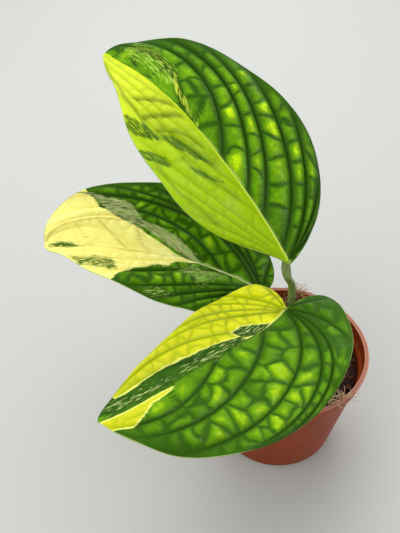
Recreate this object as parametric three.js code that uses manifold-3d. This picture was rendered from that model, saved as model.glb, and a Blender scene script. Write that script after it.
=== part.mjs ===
import * as THREE from 'three';
import { mergeVertices } from 'three/addons/utils/BufferGeometryUtils.js';
import Module from 'manifold-3d';

// A potted three-leaved monstera cutting: puckered, variegated leaves on petioles that rise
// from a short stem, in potting mix, in a round plastic nursery pot.
// Millimetres, +Z up, origin at the centre of the pot's base. The pot's axis is Z, and the
// front, which the leaves lean over, faces -Y.

// Pot
const potHeight = 70;
const rimRadius = 50;
const baseRadius = 36.5;
const wall = 1.2;
const baseThickness = 1.6;
const baseChamfer = 1.4;
const collarHeight = 8.6;
const collarStep = 1.5;
const collarDraft = 1.6;
const lipWidth = 2.4;
const lipHeight = 1.5;
const lipGrooveDepth = 0.5;
const drainHoles = 6;
const drainHoleRadius = 4;
const drainRingRadius = 24;
const drainHoleSides = 20;
const potSides = 72;
const edgeRound = 0.3;
const innerCorner = 0.8;

// Potting mix
const soilLevel = 59.2;
const soilCrown = 1.6;
const soilLump = 1.5;
const soilSettle = 0.9;
const soilRings = 11;
const soilSides = 48;
const fitGap = 0.3;

// Stem, sunk in the mix
const stemRadius = 3.7;
const stemNodeSwell = 0.7;
const stemNodes = 2.75;
const stemTaper = 0.9;
const stemTaperStart = 0.86;
const stemFoot = [3.4, 7.4, 34];
const stemMiddle = [2.4, 5.6, 62];
const stemHead = [1.5, 4.0, 84];
const stemSides = 14;
const stemSteps = 16;

// Petioles: radius at the stem, radius at the knee below the blade, and the swell of the knee
const petioleFootRadius = 2.5;
const petioleRadius = 1.95;
const kneeSwell = 0.45;
const sheathLength = 22;
const kneeLength = 4;
const petioleRunIn = 2;
const petioleRunOut = 6;
const kneeDrop = 3.4;
const petioleSides = 10;
const petioleSteps = 26;

// Blades. Flat points closer than sameMark are one point.
const sameMark = 0.001;
const bladeThickness = 1.0;
const midribKeel = 1.2;
const midribKeelReach = 2.4;
const midribKeelTaper = 0.75;
const midribKeelLeadIn = 4;
const stepsPerVeinGap = 5;
const stepsToMargin = 9;
const marginStepPower = 1.15;
const midribSamples = 60;
const outlineSplit = 0.3;
const archReach = 0.25;
const puckerHeight = 1.7;
const puckerSharpness = 0.75;
const puckerLength = 12;
const puckerNeck = 0.28;
const puckerShiftPerGap = 0.3;
const puckerStart = 0.22;
const puckerEndPower = 7;
const reliefEnds = 0.12;
const marginWaves = 3.4;
const curlReach = 0.3;

// Each blade: the petiole meets it at base; bearing is the heading of the midrib from +X,
// rise its slope there, and droop, droopGrowth, turn and turnGrowth how both change to the tip.
// weave swings the midrib from side to side. Each half has its fold up from the midrib, its
// curl down to the margin, and the sizes of its outline from the cleft behind the petiole
// round the basal lobe, over the widest point and on to the tip. veins are pairs of main
// veins: where on the midrib each pair springs, and the places that its left and right veins
// head for round the outline, from 0 at the cleft to 1 at the tip. A vein bows out by a share
// of its length: arch for one that ends halfway round, and archGrowth times how far past that.
const leaves = [
  {
    name: 'leaf_top',
    color: 0x6f9a2c,
    length: 167,
    base: [-3.3, -5.4, 139.7],
    bearing: 130.1,
    turn: 0.4,
    turnGrowth: 4.7,
    rise: 38,
    droop: 5,
    droopGrowth: 40,
    roll: 1.1,
    twist: -13,
    weave: { swing: 2.5, start: 0.14, span: 0.6 },
    cleft: 1.8,
    marginWave: 1.3,
    wavePhase: 0.6,
    veins: [
      [0, 0.14, 0.1], [0, 0.27, 0.22], [0, 0.395, 0.346], [0.04, 0.5, 0.485],
      [0.157, 0.63, 0.615], [0.242, 0.73, 0.705], [0.374, 0.83, 0.811], [0.594, 0.92, 0.91],
    ],
    halves: {
      left: {
        fold: 23, curl: 15.5, width: 46.6, widest: 56.3, lobeBack: -9.7, lobeOut: 11.5,
        shoulder: 29.7, taper: 43.2, tipLength: 10, tipWidth: 10.7,
        arch: 0.14, archGrowth: 0.2,
      },
      right: {
        fold: 18.2, curl: 14.2, width: 50.3, widest: 58.4, lobeBack: -4.8, lobeOut: 15,
        shoulder: 34.2, taper: 57.8, tipLength: 5, tipWidth: 12.9,
        arch: 0.23, archGrowth: 0.14,
      },
    },
    petiole: [[1.4, 3.6, 84], [1.9, 1.8, 100], [0.6, -1.4, 120]],
  },
  {
    name: 'leaf_left',
    color: 0x8d9a3a,
    length: 129,
    base: [-12.5, 18.4, 97],
    bearing: 160,
    turn: 30.2,
    turnGrowth: 0.6,
    rise: 18,
    droop: 15,
    droopGrowth: 0,
    roll: -23.2,
    twist: 2.3,
    weave: { swing: -2.8, start: 0.01, span: 0.56 },
    cleft: 1.8,
    marginWave: 1.2,
    wavePhase: 2.2,
    veins: [
      [0, 0.1, 0.1], [0, 0.22, 0.25], [0, 0.34, 0.38], [0, 0.44, 0.5],
      [0.03, 0.534, 0.607], [0.2, 0.69, 0.75], [0.35, 0.82, 0.85], [0.59, 0.92, 0.933],
    ],
    halves: {
      left: {
        fold: 18.5, curl: 5.8, width: 35.4, widest: 43.8, lobeBack: 12.6, lobeOut: 17.4,
        shoulder: 26.4, taper: 34.9, tipLength: 6.7, tipWidth: 10.2,
        arch: 0.08, archGrowth: 0,
      },
      right: {
        fold: 14.9, curl: 6.9, width: 44.7, widest: 61.8, lobeBack: 12.2, lobeOut: 18.1,
        shoulder: 25.8, taper: 58.7, tipLength: -2, tipWidth: 11.1,
        arch: 0.18, archGrowth: 0.46,
      },
    },
    petiole: [[1.6, 7.2, 70], [-4.2, 11.4, 78], [-8.6, 16.4, 88]],
  },
  {
    name: 'leaf_front',
    color: 0x9aa13c,
    length: 120.7,
    base: [-2.6, -8.7, 108],
    bearing: 235.7,
    turn: -48.8,
    turnGrowth: 25.7,
    rise: 7,
    droop: 8,
    droopGrowth: 0,
    roll: -2,
    twist: -13.9,
    weave: { swing: 4.2, start: 0.49, span: 0.7 },
    cleft: 2.1,
    marginWave: 1.2,
    wavePhase: 4.1,
    veins: [
      [0, 0.09, 0.12], [0, 0.2, 0.27], [0, 0.33, 0.42], [0, 0.452, 0.558],
      [0, 0.639, 0.69], [0.187, 0.811, 0.81], [0.444, 0.92, 0.92],
    ],
    halves: {
      left: {
        fold: 5.1, curl: 15.6, width: 50.8, widest: 40.9, lobeBack: 58.9, lobeOut: 13,
        shoulder: 31.9, taper: 56.1, tipLength: 8.7, tipWidth: 11.3,
        arch: 0.47, archGrowth: -0.43,
      },
      right: {
        fold: 3.4, curl: 11.7, width: 32.1, widest: 20.8, lobeBack: 19.9, lobeOut: 17,
        shoulder: 30, taper: 28.4, tipLength: 5.3, tipWidth: 10.4,
        arch: 0.275, archGrowth: -0.12,
      },
    },
    petiole: [[1.2, 3.4, 74], [-0.6, -2.6, 84], [-1.4, -6, 95]],
  },
];

// Finishes
const potFinish = { color: 0xb4482c, roughness: 0.5 };
const soilFinish = { color: 0x2c211a, roughness: 0.95 };
const stalkFinish = { color: 0x6d8b3c, roughness: 0.5 };
const bladeRoughness = 0.4;

const radians = THREE.MathUtils.degToRad;
const clamp = THREE.MathUtils.clamp;
const lerp = THREE.MathUtils.lerp;
const vector = (point) => new THREE.Vector3(...point);

const wasm = await Module();
wasm.setup();

function material(color, roughness) {
  return new THREE.MeshStandardMaterial({ color, roughness, metalness: 0 });
}

// A closed geometry, its shared vertices merged, as a solid for cutting.
function solidOf(geometry) {
  const bare = geometry.clone();
  bare.deleteAttribute('normal');
  bare.deleteAttribute('uv');
  const merged = mergeVertices(bare, 1e-4);
  return new wasm.Manifold(new wasm.Mesh({
    numProp: 3,
    vertProperties: new Float32Array(merged.attributes.position.array),
    triVerts: new Uint32Array(merged.index.array),
  }));
}

function geometryOf(solid) {
  const mesh = solid.getMesh();
  return indexed(Array.from(mesh.vertProperties), Array.from(mesh.triVerts));
}

function indexed(positions, triangles) {
  const geometry = new THREE.BufferGeometry();
  geometry.setAttribute('position', new THREE.Float32BufferAttribute(positions, 3));
  geometry.setIndex(triangles);
  geometry.computeVertexNormals();
  return geometry;
}

// A round bar along a curve, with its radius given along it and both ends closed.
function taperedBar(curve, radiusAt, steps, sides) {
  const frames = curve.computeFrenetFrames(steps, false);
  const positions = [];
  const triangles = [];
  for (let i = 0; i <= steps; i += 1) {
    const centre = curve.getPointAt(i / steps);
    const radius = radiusAt(i / steps);
    for (let k = 0; k < sides; k += 1) {
      const angle = (2 * Math.PI * k) / sides;
      const spoke = frames.normals[i].clone().multiplyScalar(Math.cos(angle));
      spoke.addScaledVector(frames.binormals[i], Math.sin(angle));
      positions.push(...centre.clone().addScaledVector(spoke, radius).toArray());
    }
  }
  for (let i = 0; i < steps; i += 1) {
    for (let k = 0; k < sides; k += 1) {
      const next = (k + 1) % sides;
      const low = i * sides;
      const high = low + sides;
      triangles.push(low + k, low + next, high + next, low + k, high + next, high + k);
    }
  }
  const foot = positions.length / 3;
  positions.push(...curve.getPointAt(0).toArray(), ...curve.getPointAt(1).toArray());
  for (let k = 0; k < sides; k += 1) {
    const next = (k + 1) % sides;
    const head = steps * sides;
    triangles.push(foot, next, k, foot + 1, head + k, head + next);
  }
  return indexed(positions, triangles);
}

// The pot: a thin turned wall with a stepped collar, a grooved lip and holes in its base.
function potGeometry() {
  const collarFoot = potHeight - collarHeight;
  const collarRadius = rimRadius - collarDraft;
  const wallTop = collarRadius - collarStep;
  const innerLip = rimRadius - lipWidth;
  const lipMiddle = rimRadius - lipWidth / 2;
  const profile = [
    [0, 0],
    [baseRadius - baseChamfer, 0],
    [baseRadius, baseChamfer],
    [wallTop, collarFoot],
    [collarRadius - edgeRound, collarFoot],
    [collarRadius, collarFoot + edgeRound],
    [rimRadius - edgeRound, potHeight - lipHeight - edgeRound],
    [rimRadius, potHeight - lipHeight],
    [rimRadius, potHeight - edgeRound],
    [rimRadius - edgeRound, potHeight],
    [lipMiddle + lipGrooveDepth / 2, potHeight],
    [lipMiddle, potHeight - lipGrooveDepth],
    [lipMiddle - lipGrooveDepth / 2, potHeight],
    [innerLip + edgeRound, potHeight],
    [innerLip, potHeight - edgeRound],
    [collarRadius - wall, collarFoot + wall / 2],
    [wallTop - wall, collarFoot - wall / 2],
    [baseRadius - wall, baseThickness + innerCorner],
    [baseRadius - wall - innerCorner, baseThickness],
    [0, baseThickness],
  ].map(([radius, height]) => new THREE.Vector2(radius, height));
  const turned = new THREE.LatheGeometry(profile, potSides);
  turned.rotateX(Math.PI / 2);
  let pot = solidOf(turned);
  for (let i = 0; i < drainHoles; i += 1) {
    const angle = (2 * Math.PI * i) / drainHoles;
    const drill = new THREE.CylinderGeometry(
      drainHoleRadius, drainHoleRadius, 3 * baseThickness, drainHoleSides,
    );
    drill.rotateX(Math.PI / 2);
    drill.translate(
      drainRingRadius * Math.cos(angle), drainRingRadius * Math.sin(angle), baseThickness / 2,
    );
    pot = pot.subtract(solidOf(drill));
  }
  return geometryOf(pot);
}

// The inside radius of the pot's wall below the collar.
function innerRadius(height) {
  const collarFoot = potHeight - collarHeight;
  const top = rimRadius - collarDraft - collarStep;
  return THREE.MathUtils.mapLinear(height, baseChamfer, collarFoot, baseRadius, top) - wall;
}

// Crumbs and hollows on the mix: waves of three sizes crossed at odd angles.
function soilHeight(x, y) {
  const coarse = Math.sin(0.21 * x + 0.13 * y + 0.7) * Math.cos(0.17 * y - 0.09 * x + 1.9);
  const medium = Math.sin(0.47 * x - 0.31 * y + 2.1) * Math.cos(0.43 * y + 0.29 * x);
  const fine = Math.sin(0.93 * x + 0.57 * y) * Math.sin(0.88 * y - 0.61 * x + 0.5);
  const crown = soilCrown * (1 - (x * x + y * y) / (rimRadius * rimRadius));
  return soilLevel + crown + soilLump * (0.4 * coarse + 0.35 * medium + 0.3 * fine);
}

// The mix: a plug that fills the pot, with a lumpy top and a plain hole for the stem.
function soilGeometry(stemHole) {
  const foot = baseThickness + fitGap;
  const edge = innerRadius(soilLevel) - 2 * fitGap;
  const positions = [0, 0, soilHeight(0, 0)];
  const triangles = [];
  for (let ring = 1; ring <= soilRings; ring += 1) {
    const radius = edge * (ring / soilRings);
    for (let k = 0; k < soilSides; k += 1) {
      const angle = (2 * Math.PI * k) / soilSides;
      const x = radius * Math.cos(angle);
      const y = radius * Math.sin(angle);
      const settled = ring === soilRings ? soilLevel - soilSettle : soilHeight(x, y);
      positions.push(x, y, settled);
    }
  }
  const footRadius = innerRadius(foot) - 2 * fitGap - innerCorner;
  for (let k = 0; k < soilSides; k += 1) {
    const angle = (2 * Math.PI * k) / soilSides;
    positions.push(footRadius * Math.cos(angle), footRadius * Math.sin(angle), foot);
  }
  const centre = positions.length / 3;
  positions.push(0, 0, foot);
  for (let k = 0; k < soilSides; k += 1) {
    const next = (k + 1) % soilSides;
    triangles.push(0, 1 + k, 1 + next);
    for (let ring = 0; ring < soilRings; ring += 1) {
      const near = 1 + ring * soilSides;
      const far = near + soilSides;
      triangles.push(near + k, far + k, far + next, near + k, far + next, near + next);
    }
    const last = 1 + soilRings * soilSides;
    triangles.push(centre, last + next, last + k);
  }
  return geometryOf(solidOf(indexed(positions, triangles)).subtract(stemHole));
}

// The stem: a short bar with swollen nodes; spare widens it, to make the hole it stands in.
function stemGeometry(spare) {
  const curve = new THREE.CatmullRomCurve3([stemFoot, stemMiddle, stemHead].map(vector));
  const radiusAt = (t) => {
    const node = Math.max(0, Math.cos(2 * Math.PI * stemNodes * t - 0.4)) ** 4;
    const head = Math.max(0, t - stemTaperStart) / (1 - stemTaperStart);
    return stemRadius + spare + stemNodeSwell * node - stemTaper * head;
  };
  return taperedBar(curve, radiusAt, stemSteps, stemSides);
}

// The midrib as points with their direction, and the blade's left and up directions there.
function midribOf(leaf) {
  const samples = [];
  const point = vector(leaf.base);
  for (let i = 0; i <= midribSamples; i += 1) {
    const s = i / midribSamples;
    const slope = radians(leaf.rise - leaf.droop * s - leaf.droopGrowth * s * s);
    const swing = Math.sin((2 * Math.PI * (s - leaf.weave.start)) / leaf.weave.span);
    const heading = radians(
      leaf.bearing + leaf.turn * s + leaf.turnGrowth * s * s + leaf.weave.swing * swing,
    );
    const along = new THREE.Vector3(
      Math.cos(slope) * Math.cos(heading),
      Math.cos(slope) * Math.sin(heading),
      Math.sin(slope),
    );
    if (i > 0) {
      const mean = samples[i - 1].along.clone().add(along).multiplyScalar(0.5);
      point.addScaledVector(mean, leaf.length / midribSamples);
    }
    const level = new THREE.Vector3(-Math.sin(heading), Math.cos(heading), 0);
    const top = along.clone().cross(level);
    const roll = radians(leaf.roll + leaf.twist * s);
    samples.push({
      point: point.clone(),
      along,
      left: level.clone().multiplyScalar(Math.cos(roll)).addScaledVector(top, Math.sin(roll)),
      up: top.clone().multiplyScalar(Math.cos(roll)).addScaledVector(level, -Math.sin(roll)),
    });
  }
  return samples;
}

function midribAt(samples, s, key) {
  const place = clamp(s, 0, 1) * midribSamples;
  const index = Math.min(Math.floor(place), midribSamples - 1);
  return samples[index][key].clone().lerp(samples[index + 1][key], place - index);
}

// The flat outline of one half: round the basal lobe to the widest point, then to the tip.
function outlineOf(leaf, half) {
  const at = (x, y) => new THREE.Vector2(x, y);
  const lobe = new THREE.CubicBezierCurve(
    at(-leaf.cleft, 0),
    at(-leaf.cleft - half.lobeBack, half.lobeOut),
    at(half.widest - half.shoulder, half.width),
    at(half.widest, half.width),
  );
  const flank = new THREE.CubicBezierCurve(
    at(half.widest, half.width),
    at(half.widest + half.taper, half.width),
    at(leaf.length - half.tipLength, half.tipWidth),
    at(leaf.length, 0),
  );
  return (t) => (t < outlineSplit
    ? lobe.getPoint(t / outlineSplit)
    : flank.getPoint((t - outlineSplit) / (1 - outlineSplit)));
}

// A flat point on the vein that leaves the midrib at root and ends at outline place t: v runs
// along it from midrib to margin. The vein leaves steeply and arches over towards the tip.
function flatPoint(half, outline, root, t, v) {
  const start = new THREE.Vector2(root, 0);
  const end = outline(t);
  const span = end.clone().sub(start);
  const bow = (half.arch + half.archGrowth * (t - 0.5)) * (1 - Math.exp(-((t / archReach) ** 2)));
  const middle = start.clone().add(end).multiplyScalar(0.5);
  middle.add(new THREE.Vector2(-span.y, span.x).multiplyScalar(bow));
  return {
    flat: start.multiplyScalar((1 - v) ** 2)
      .addScaledVector(middle, 2 * v * (1 - v))
      .addScaledVector(end, v * v),
    span: span.length(),
  };
}

// How far the blade stands proud between its sunken veins, and how its margin waves: gap is
// the number of the gap between veins, within how far across it the place is.
function relief(leaf, t, v, gap, within, span) {
  const ends = clamp(t / reliefEnds, 0, 1) * clamp((1 - t) / reliefEnds, 0, 1);
  const between = Math.max(0, Math.sin(Math.PI * within)) ** puckerSharpness;
  const across = Math.min(1, v / puckerStart) * (1 - v ** puckerEndPower);
  const necks = (v * span) / puckerLength + puckerShiftPerGap * gap;
  const cross = 1 - puckerNeck * (1 + Math.cos(2 * Math.PI * necks));
  const wave = v ** 3 * Math.sin(2 * Math.PI * marginWaves * t + leaf.wavePhase);
  return ends * (puckerHeight * between * across * cross + leaf.marginWave * wave);
}

// A flat point lifted into space: each half folds up from the midrib and curls back down.
function spacePoint(leaf, samples, half, side, flat, lift) {
  const s = flat.x / leaf.length;
  const reach = Math.abs(flat.y);
  const fold = radians(half.fold);
  const bend = radians(half.curl) / (curlReach * leaf.length);
  const out = (Math.sin(fold) - Math.sin(fold - bend * reach)) / bend;
  const rise = (Math.cos(fold - bend * reach) - Math.cos(fold)) / bend;
  const tilt = fold - bend * reach;
  const left = midribAt(samples, s, 'left');
  const up = midribAt(samples, s, 'up');
  return midribAt(samples, s, 'point')
    .addScaledVector(samples[0].along, Math.min(flat.x, 0))
    .addScaledVector(left, side * (out - lift * Math.sin(tilt)))
    .addScaledVector(up, rise + lift * Math.cos(tilt));
}

// How far the midrib stands down from the blade's underside, fading to the tip and the cleft.
function keelDepth(leaf, flat) {
  const toTip = clamp(1 - midribKeelTaper * flat.x / leaf.length, 0, 1);
  const fromCleft = clamp(1 + flat.x / midribKeelLeadIn, 0, 1);
  return midribKeel * toTip * fromCleft * Math.exp(-((flat.y / midribKeelReach) ** 2));
}

// A blade: its middle surface on a grid along and across the veins, thickened both ways with
// the same triangles on both faces, and with a keel under the midrib.
function bladeGeometry(leaf) {
  const samples = midribOf(leaf);
  const pairs = [[0, 0, 0], ...leaf.veins, [1, 1, 1]];
  const columns = (pairs.length - 1) * stepsPerVeinGap;
  const middle = [];
  const keels = [];
  const known = new Map();
  const triangles = [];
  for (const [name, side, place] of [['left', 1, 1], ['right', -1, 2]]) {
    const half = leaf.halves[name];
    const outline = outlineOf(leaf, half);
    const index = (i, j) => {
      const gap = Math.min(Math.floor(i / stepsPerVeinGap), pairs.length - 2);
      const within = i / stepsPerVeinGap - gap;
      const root = leaf.length * lerp(pairs[gap][0], pairs[gap + 1][0], within);
      const t = lerp(pairs[gap][place], pairs[gap + 1][place], within);
      const v = (j / stepsToMargin) ** marginStepPower;
      const { flat, span } = flatPoint(half, outline, root, t, v);
      const key = `${Math.round(flat.x / sameMark)} ${Math.round(side * flat.y / sameMark) + 0}`;
      if (!known.has(key)) {
        known.set(key, middle.length);
        const lift = Math.abs(flat.y) < sameMark ? 0 : relief(leaf, t, v, gap, within, span);
        middle.push(spacePoint(leaf, samples, half, side, flat, lift));
        keels.push(keelDepth(leaf, flat));
      }
      return known.get(key);
    };
    for (let i = 0; i < columns; i += 1) {
      for (let j = 0; j < stepsToMargin; j += 1) {
        const [a, b, c, d] = [index(i, j), index(i + 1, j), index(i + 1, j + 1), index(i, j + 1)];
        for (const corner of [[a, b, c], [a, c, d]]) {
          if (new Set(corner).size === 3) {
            triangles.push(side > 0 ? corner : [corner[0], corner[2], corner[1]]);
          }
        }
      }
    }
  }
  return thicken(middle, keels, triangles);
}

// Both faces of a sheet of triangles, and the wall round its free edge.
function thicken(middle, keels, triangles) {
  const normals = middle.map(() => new THREE.Vector3());
  const edges = new Map();
  for (const [a, b, c] of triangles) {
    const one = middle[b].clone().sub(middle[a]);
    const normal = one.cross(middle[c].clone().sub(middle[a]));
    for (const corner of [a, b, c]) {
      normals[corner].add(normal);
    }
    for (const [from, to] of [[a, b], [b, c], [c, a]]) {
      if (!edges.delete(`${to} ${from}`)) {
        edges.set(`${from} ${to}`, [from, to]);
      }
    }
  }
  const positions = [];
  const count = middle.length;
  for (const face of [1, -1]) {
    middle.forEach((point, i) => {
      const depth = face > 0 ? bladeThickness / 2 : -bladeThickness / 2 - keels[i];
      positions.push(...point.clone().addScaledVector(normals[i].normalize(), depth).toArray());
    });
  }
  const faces = [];
  for (const [a, b, c] of triangles) {
    faces.push(a, b, c, a + count, c + count, b + count);
  }
  for (const [from, to] of edges.values()) {
    faces.push(from, from + count, to + count, from, to + count, to);
  }
  return indexed(positions, faces);
}

// A petiole: from inside the stem up to the underside of the midrib, which it meets lengthwise.
function petioleGeometry(leaf, stemCutter) {
  const [start] = midribOf(leaf);
  const below = bladeThickness / 2 + midribKeel + fitGap + petioleRadius + kneeSwell;
  const meet = vector(leaf.base).addScaledVector(start.up, -below);
  meet.addScaledVector(start.along, petioleRunIn);
  const knee = meet.clone().addScaledVector(start.along, -petioleRunOut);
  knee.z -= kneeDrop;
  const curve = new THREE.CatmullRomCurve3([...leaf.petiole.map(vector), knee, meet]);
  const length = curve.getLength();
  const radiusAt = (t) => {
    const sheath = (petioleFootRadius - petioleRadius) * Math.exp(-(t * length) / sheathLength);
    const fromKnee = (1 - t) * length - petioleRunOut;
    const swell = kneeSwell * Math.exp(-((fromKnee / kneeLength) ** 2));
    return petioleRadius + sheath + swell;
  };
  const bar = taperedBar(curve, radiusAt, petioleSteps, petioleSides);
  return geometryOf(solidOf(bar).subtract(stemCutter));
}

const plant = new THREE.Group();

function addPiece(name, geometry, finish) {
  const mesh = new THREE.Mesh(geometry, material(finish.color, finish.roughness));
  mesh.name = name;
  plant.add(mesh);
}

const stemCutter = solidOf(stemGeometry(fitGap));
addPiece('pot', potGeometry(), potFinish);
addPiece('soil', soilGeometry(stemCutter), soilFinish);
addPiece('stem', stemGeometry(0), stalkFinish);
for (const leaf of leaves) {
  const bladeFinish = { color: leaf.color, roughness: bladeRoughness };
  addPiece(leaf.name, bladeGeometry(leaf), bladeFinish);
  addPiece(leaf.name.replace('leaf', 'petiole'), petioleGeometry(leaf, stemCutter), stalkFinish);
}

export default plant;
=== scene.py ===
import math

import bpy
import numpy as np
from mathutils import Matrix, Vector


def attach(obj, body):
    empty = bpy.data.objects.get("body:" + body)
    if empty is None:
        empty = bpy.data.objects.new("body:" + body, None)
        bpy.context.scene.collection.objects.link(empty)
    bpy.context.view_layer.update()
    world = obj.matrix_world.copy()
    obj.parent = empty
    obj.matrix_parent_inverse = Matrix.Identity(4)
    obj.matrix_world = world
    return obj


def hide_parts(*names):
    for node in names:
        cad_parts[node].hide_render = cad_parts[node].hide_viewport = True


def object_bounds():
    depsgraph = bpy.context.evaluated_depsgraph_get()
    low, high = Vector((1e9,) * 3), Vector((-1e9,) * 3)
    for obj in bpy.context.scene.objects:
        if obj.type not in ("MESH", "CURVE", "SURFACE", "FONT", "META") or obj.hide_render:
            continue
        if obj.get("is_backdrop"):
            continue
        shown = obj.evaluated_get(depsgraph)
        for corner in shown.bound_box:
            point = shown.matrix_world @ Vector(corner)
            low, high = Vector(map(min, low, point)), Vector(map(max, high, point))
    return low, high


bl_info = {
    "name": "Potted Monstera Cutting",
    "version": (1, 0, 0),
    "blender": (4, 5, 0),
    "location": "View3D > Sidebar > Potted Plant",
    "description": "A three-leaved variegated monstera cutting in a plastic nursery pot",
    "category": "Add Mesh",
}

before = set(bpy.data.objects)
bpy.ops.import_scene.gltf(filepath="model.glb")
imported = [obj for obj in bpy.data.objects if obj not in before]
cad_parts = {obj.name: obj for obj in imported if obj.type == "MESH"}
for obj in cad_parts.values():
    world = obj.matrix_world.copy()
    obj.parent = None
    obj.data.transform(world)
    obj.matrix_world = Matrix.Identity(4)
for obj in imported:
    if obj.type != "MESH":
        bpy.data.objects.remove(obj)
cad_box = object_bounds()

# Sizes below are in millimetres and angles in degrees, as in the part's source.
# Positions go into the meshes in metres.
MM = 0.001
SEED = 11


def linear(hex_colour):
    """An sRGB hex colour as the linear red, green and blue that Blender works in."""
    parts = [int(hex_colour[i:i + 2], 16) / 255 for i in (0, 2, 4)]
    return tuple(p / 12.92 if p <= 0.04045 else ((p + 0.055) / 1.055) ** 2.4 for p in parts)


def colour_property(name, description, hex_colour):
    """A colour setting whose default is an sRGB hex colour."""
    return bpy.props.FloatVectorProperty(
        name=name, description=description, default=linear(hex_colour),
        subtype="COLOR", size=3, min=0.0, max=1.0,
    )


# Pot, as turned and moulded
POT_HEIGHT = 70
RIM_RADIUS = 50
BASE_RADIUS = 36.5
WALL = 1.2
BASE_THICKNESS = 1.6
BASE_CHAMFER = 1.4
COLLAR_HEIGHT = 8.6
COLLAR_STEP = 1.5
COLLAR_DRAFT = 1.6
LIP_WIDTH = 2.4
LIP_GROOVE_DEPTH = 0.5
DRAIN_HOLES = 6
DRAIN_HOLE_RADIUS = 4
DRAIN_RING_RADIUS = 24

# Potting mix
SOIL_LEVEL = 59.2
SOIL_CROWN = 1.6
SOIL_LUMP = 1.5
FIT_GAP = 0.3
BLADE_THICKNESS = 1.0

# Stem
STEM_RADIUS = 3.7
STEM_NODE_SWELL = 0.7
STEM_ROUTE = [(3.4, 7.4, 34), (2.4, 5.6, 62), (1.5, 4.0, 84)]

# Petioles
PETIOLE_FOOT_RADIUS = 2.5
PETIOLE_RADIUS = 1.95
KNEE_SWELL = 0.45
KNEE_LENGTH = 4
PETIOLE_RUN_IN = 2
PETIOLE_RUN_OUT = 6
KNEE_DROP = 3.4
PETIOLE_REACH = 2.9

# Blades
MIDRIB_KEEL = 1.2
MIDRIB_KEEL_REACH = 2.4
MIDRIB_SAMPLES = 60
OUTLINE_SPLIT = 0.3
ARCH_REACH = 0.25
PUCKER_SHARPNESS = 0.75
VEIN_CROWDING = 0.1
MIDRIB_CROWDING = 1.3
CELL_DOME = 2.6
CELL_SHADE = 3.4
CELL_EDGE = 1.7
CELL_WANDER = 2.0
LEAST_QUILTING = 0.2
GLOW_SWELL = 0.4
RIPPLE_HEIGHT = 0.06
RIPPLE_CELL = 3.2
CREASE_STEEPNESS = 0.4
MARGIN_WAVES = 3.4
VEIN_REACH = 0.75
CROSS_VEIN_REACH = 0.9
GROOVE_REACH = 0.9
RIB_HEIGHT = 0.25
RIB_REACH = 0.7
RIB_TROUGH = 0.22
RIB_TROUGH_PLACE = 1.9
RIB_TROUGH_REACH = 0.9
RIM_REACH = 0.45
RIM_THINNING = 0.45
RIM_HOLLOW = 0.18
MERGES_PER_MM = 200
NO_VEIN = 9

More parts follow.
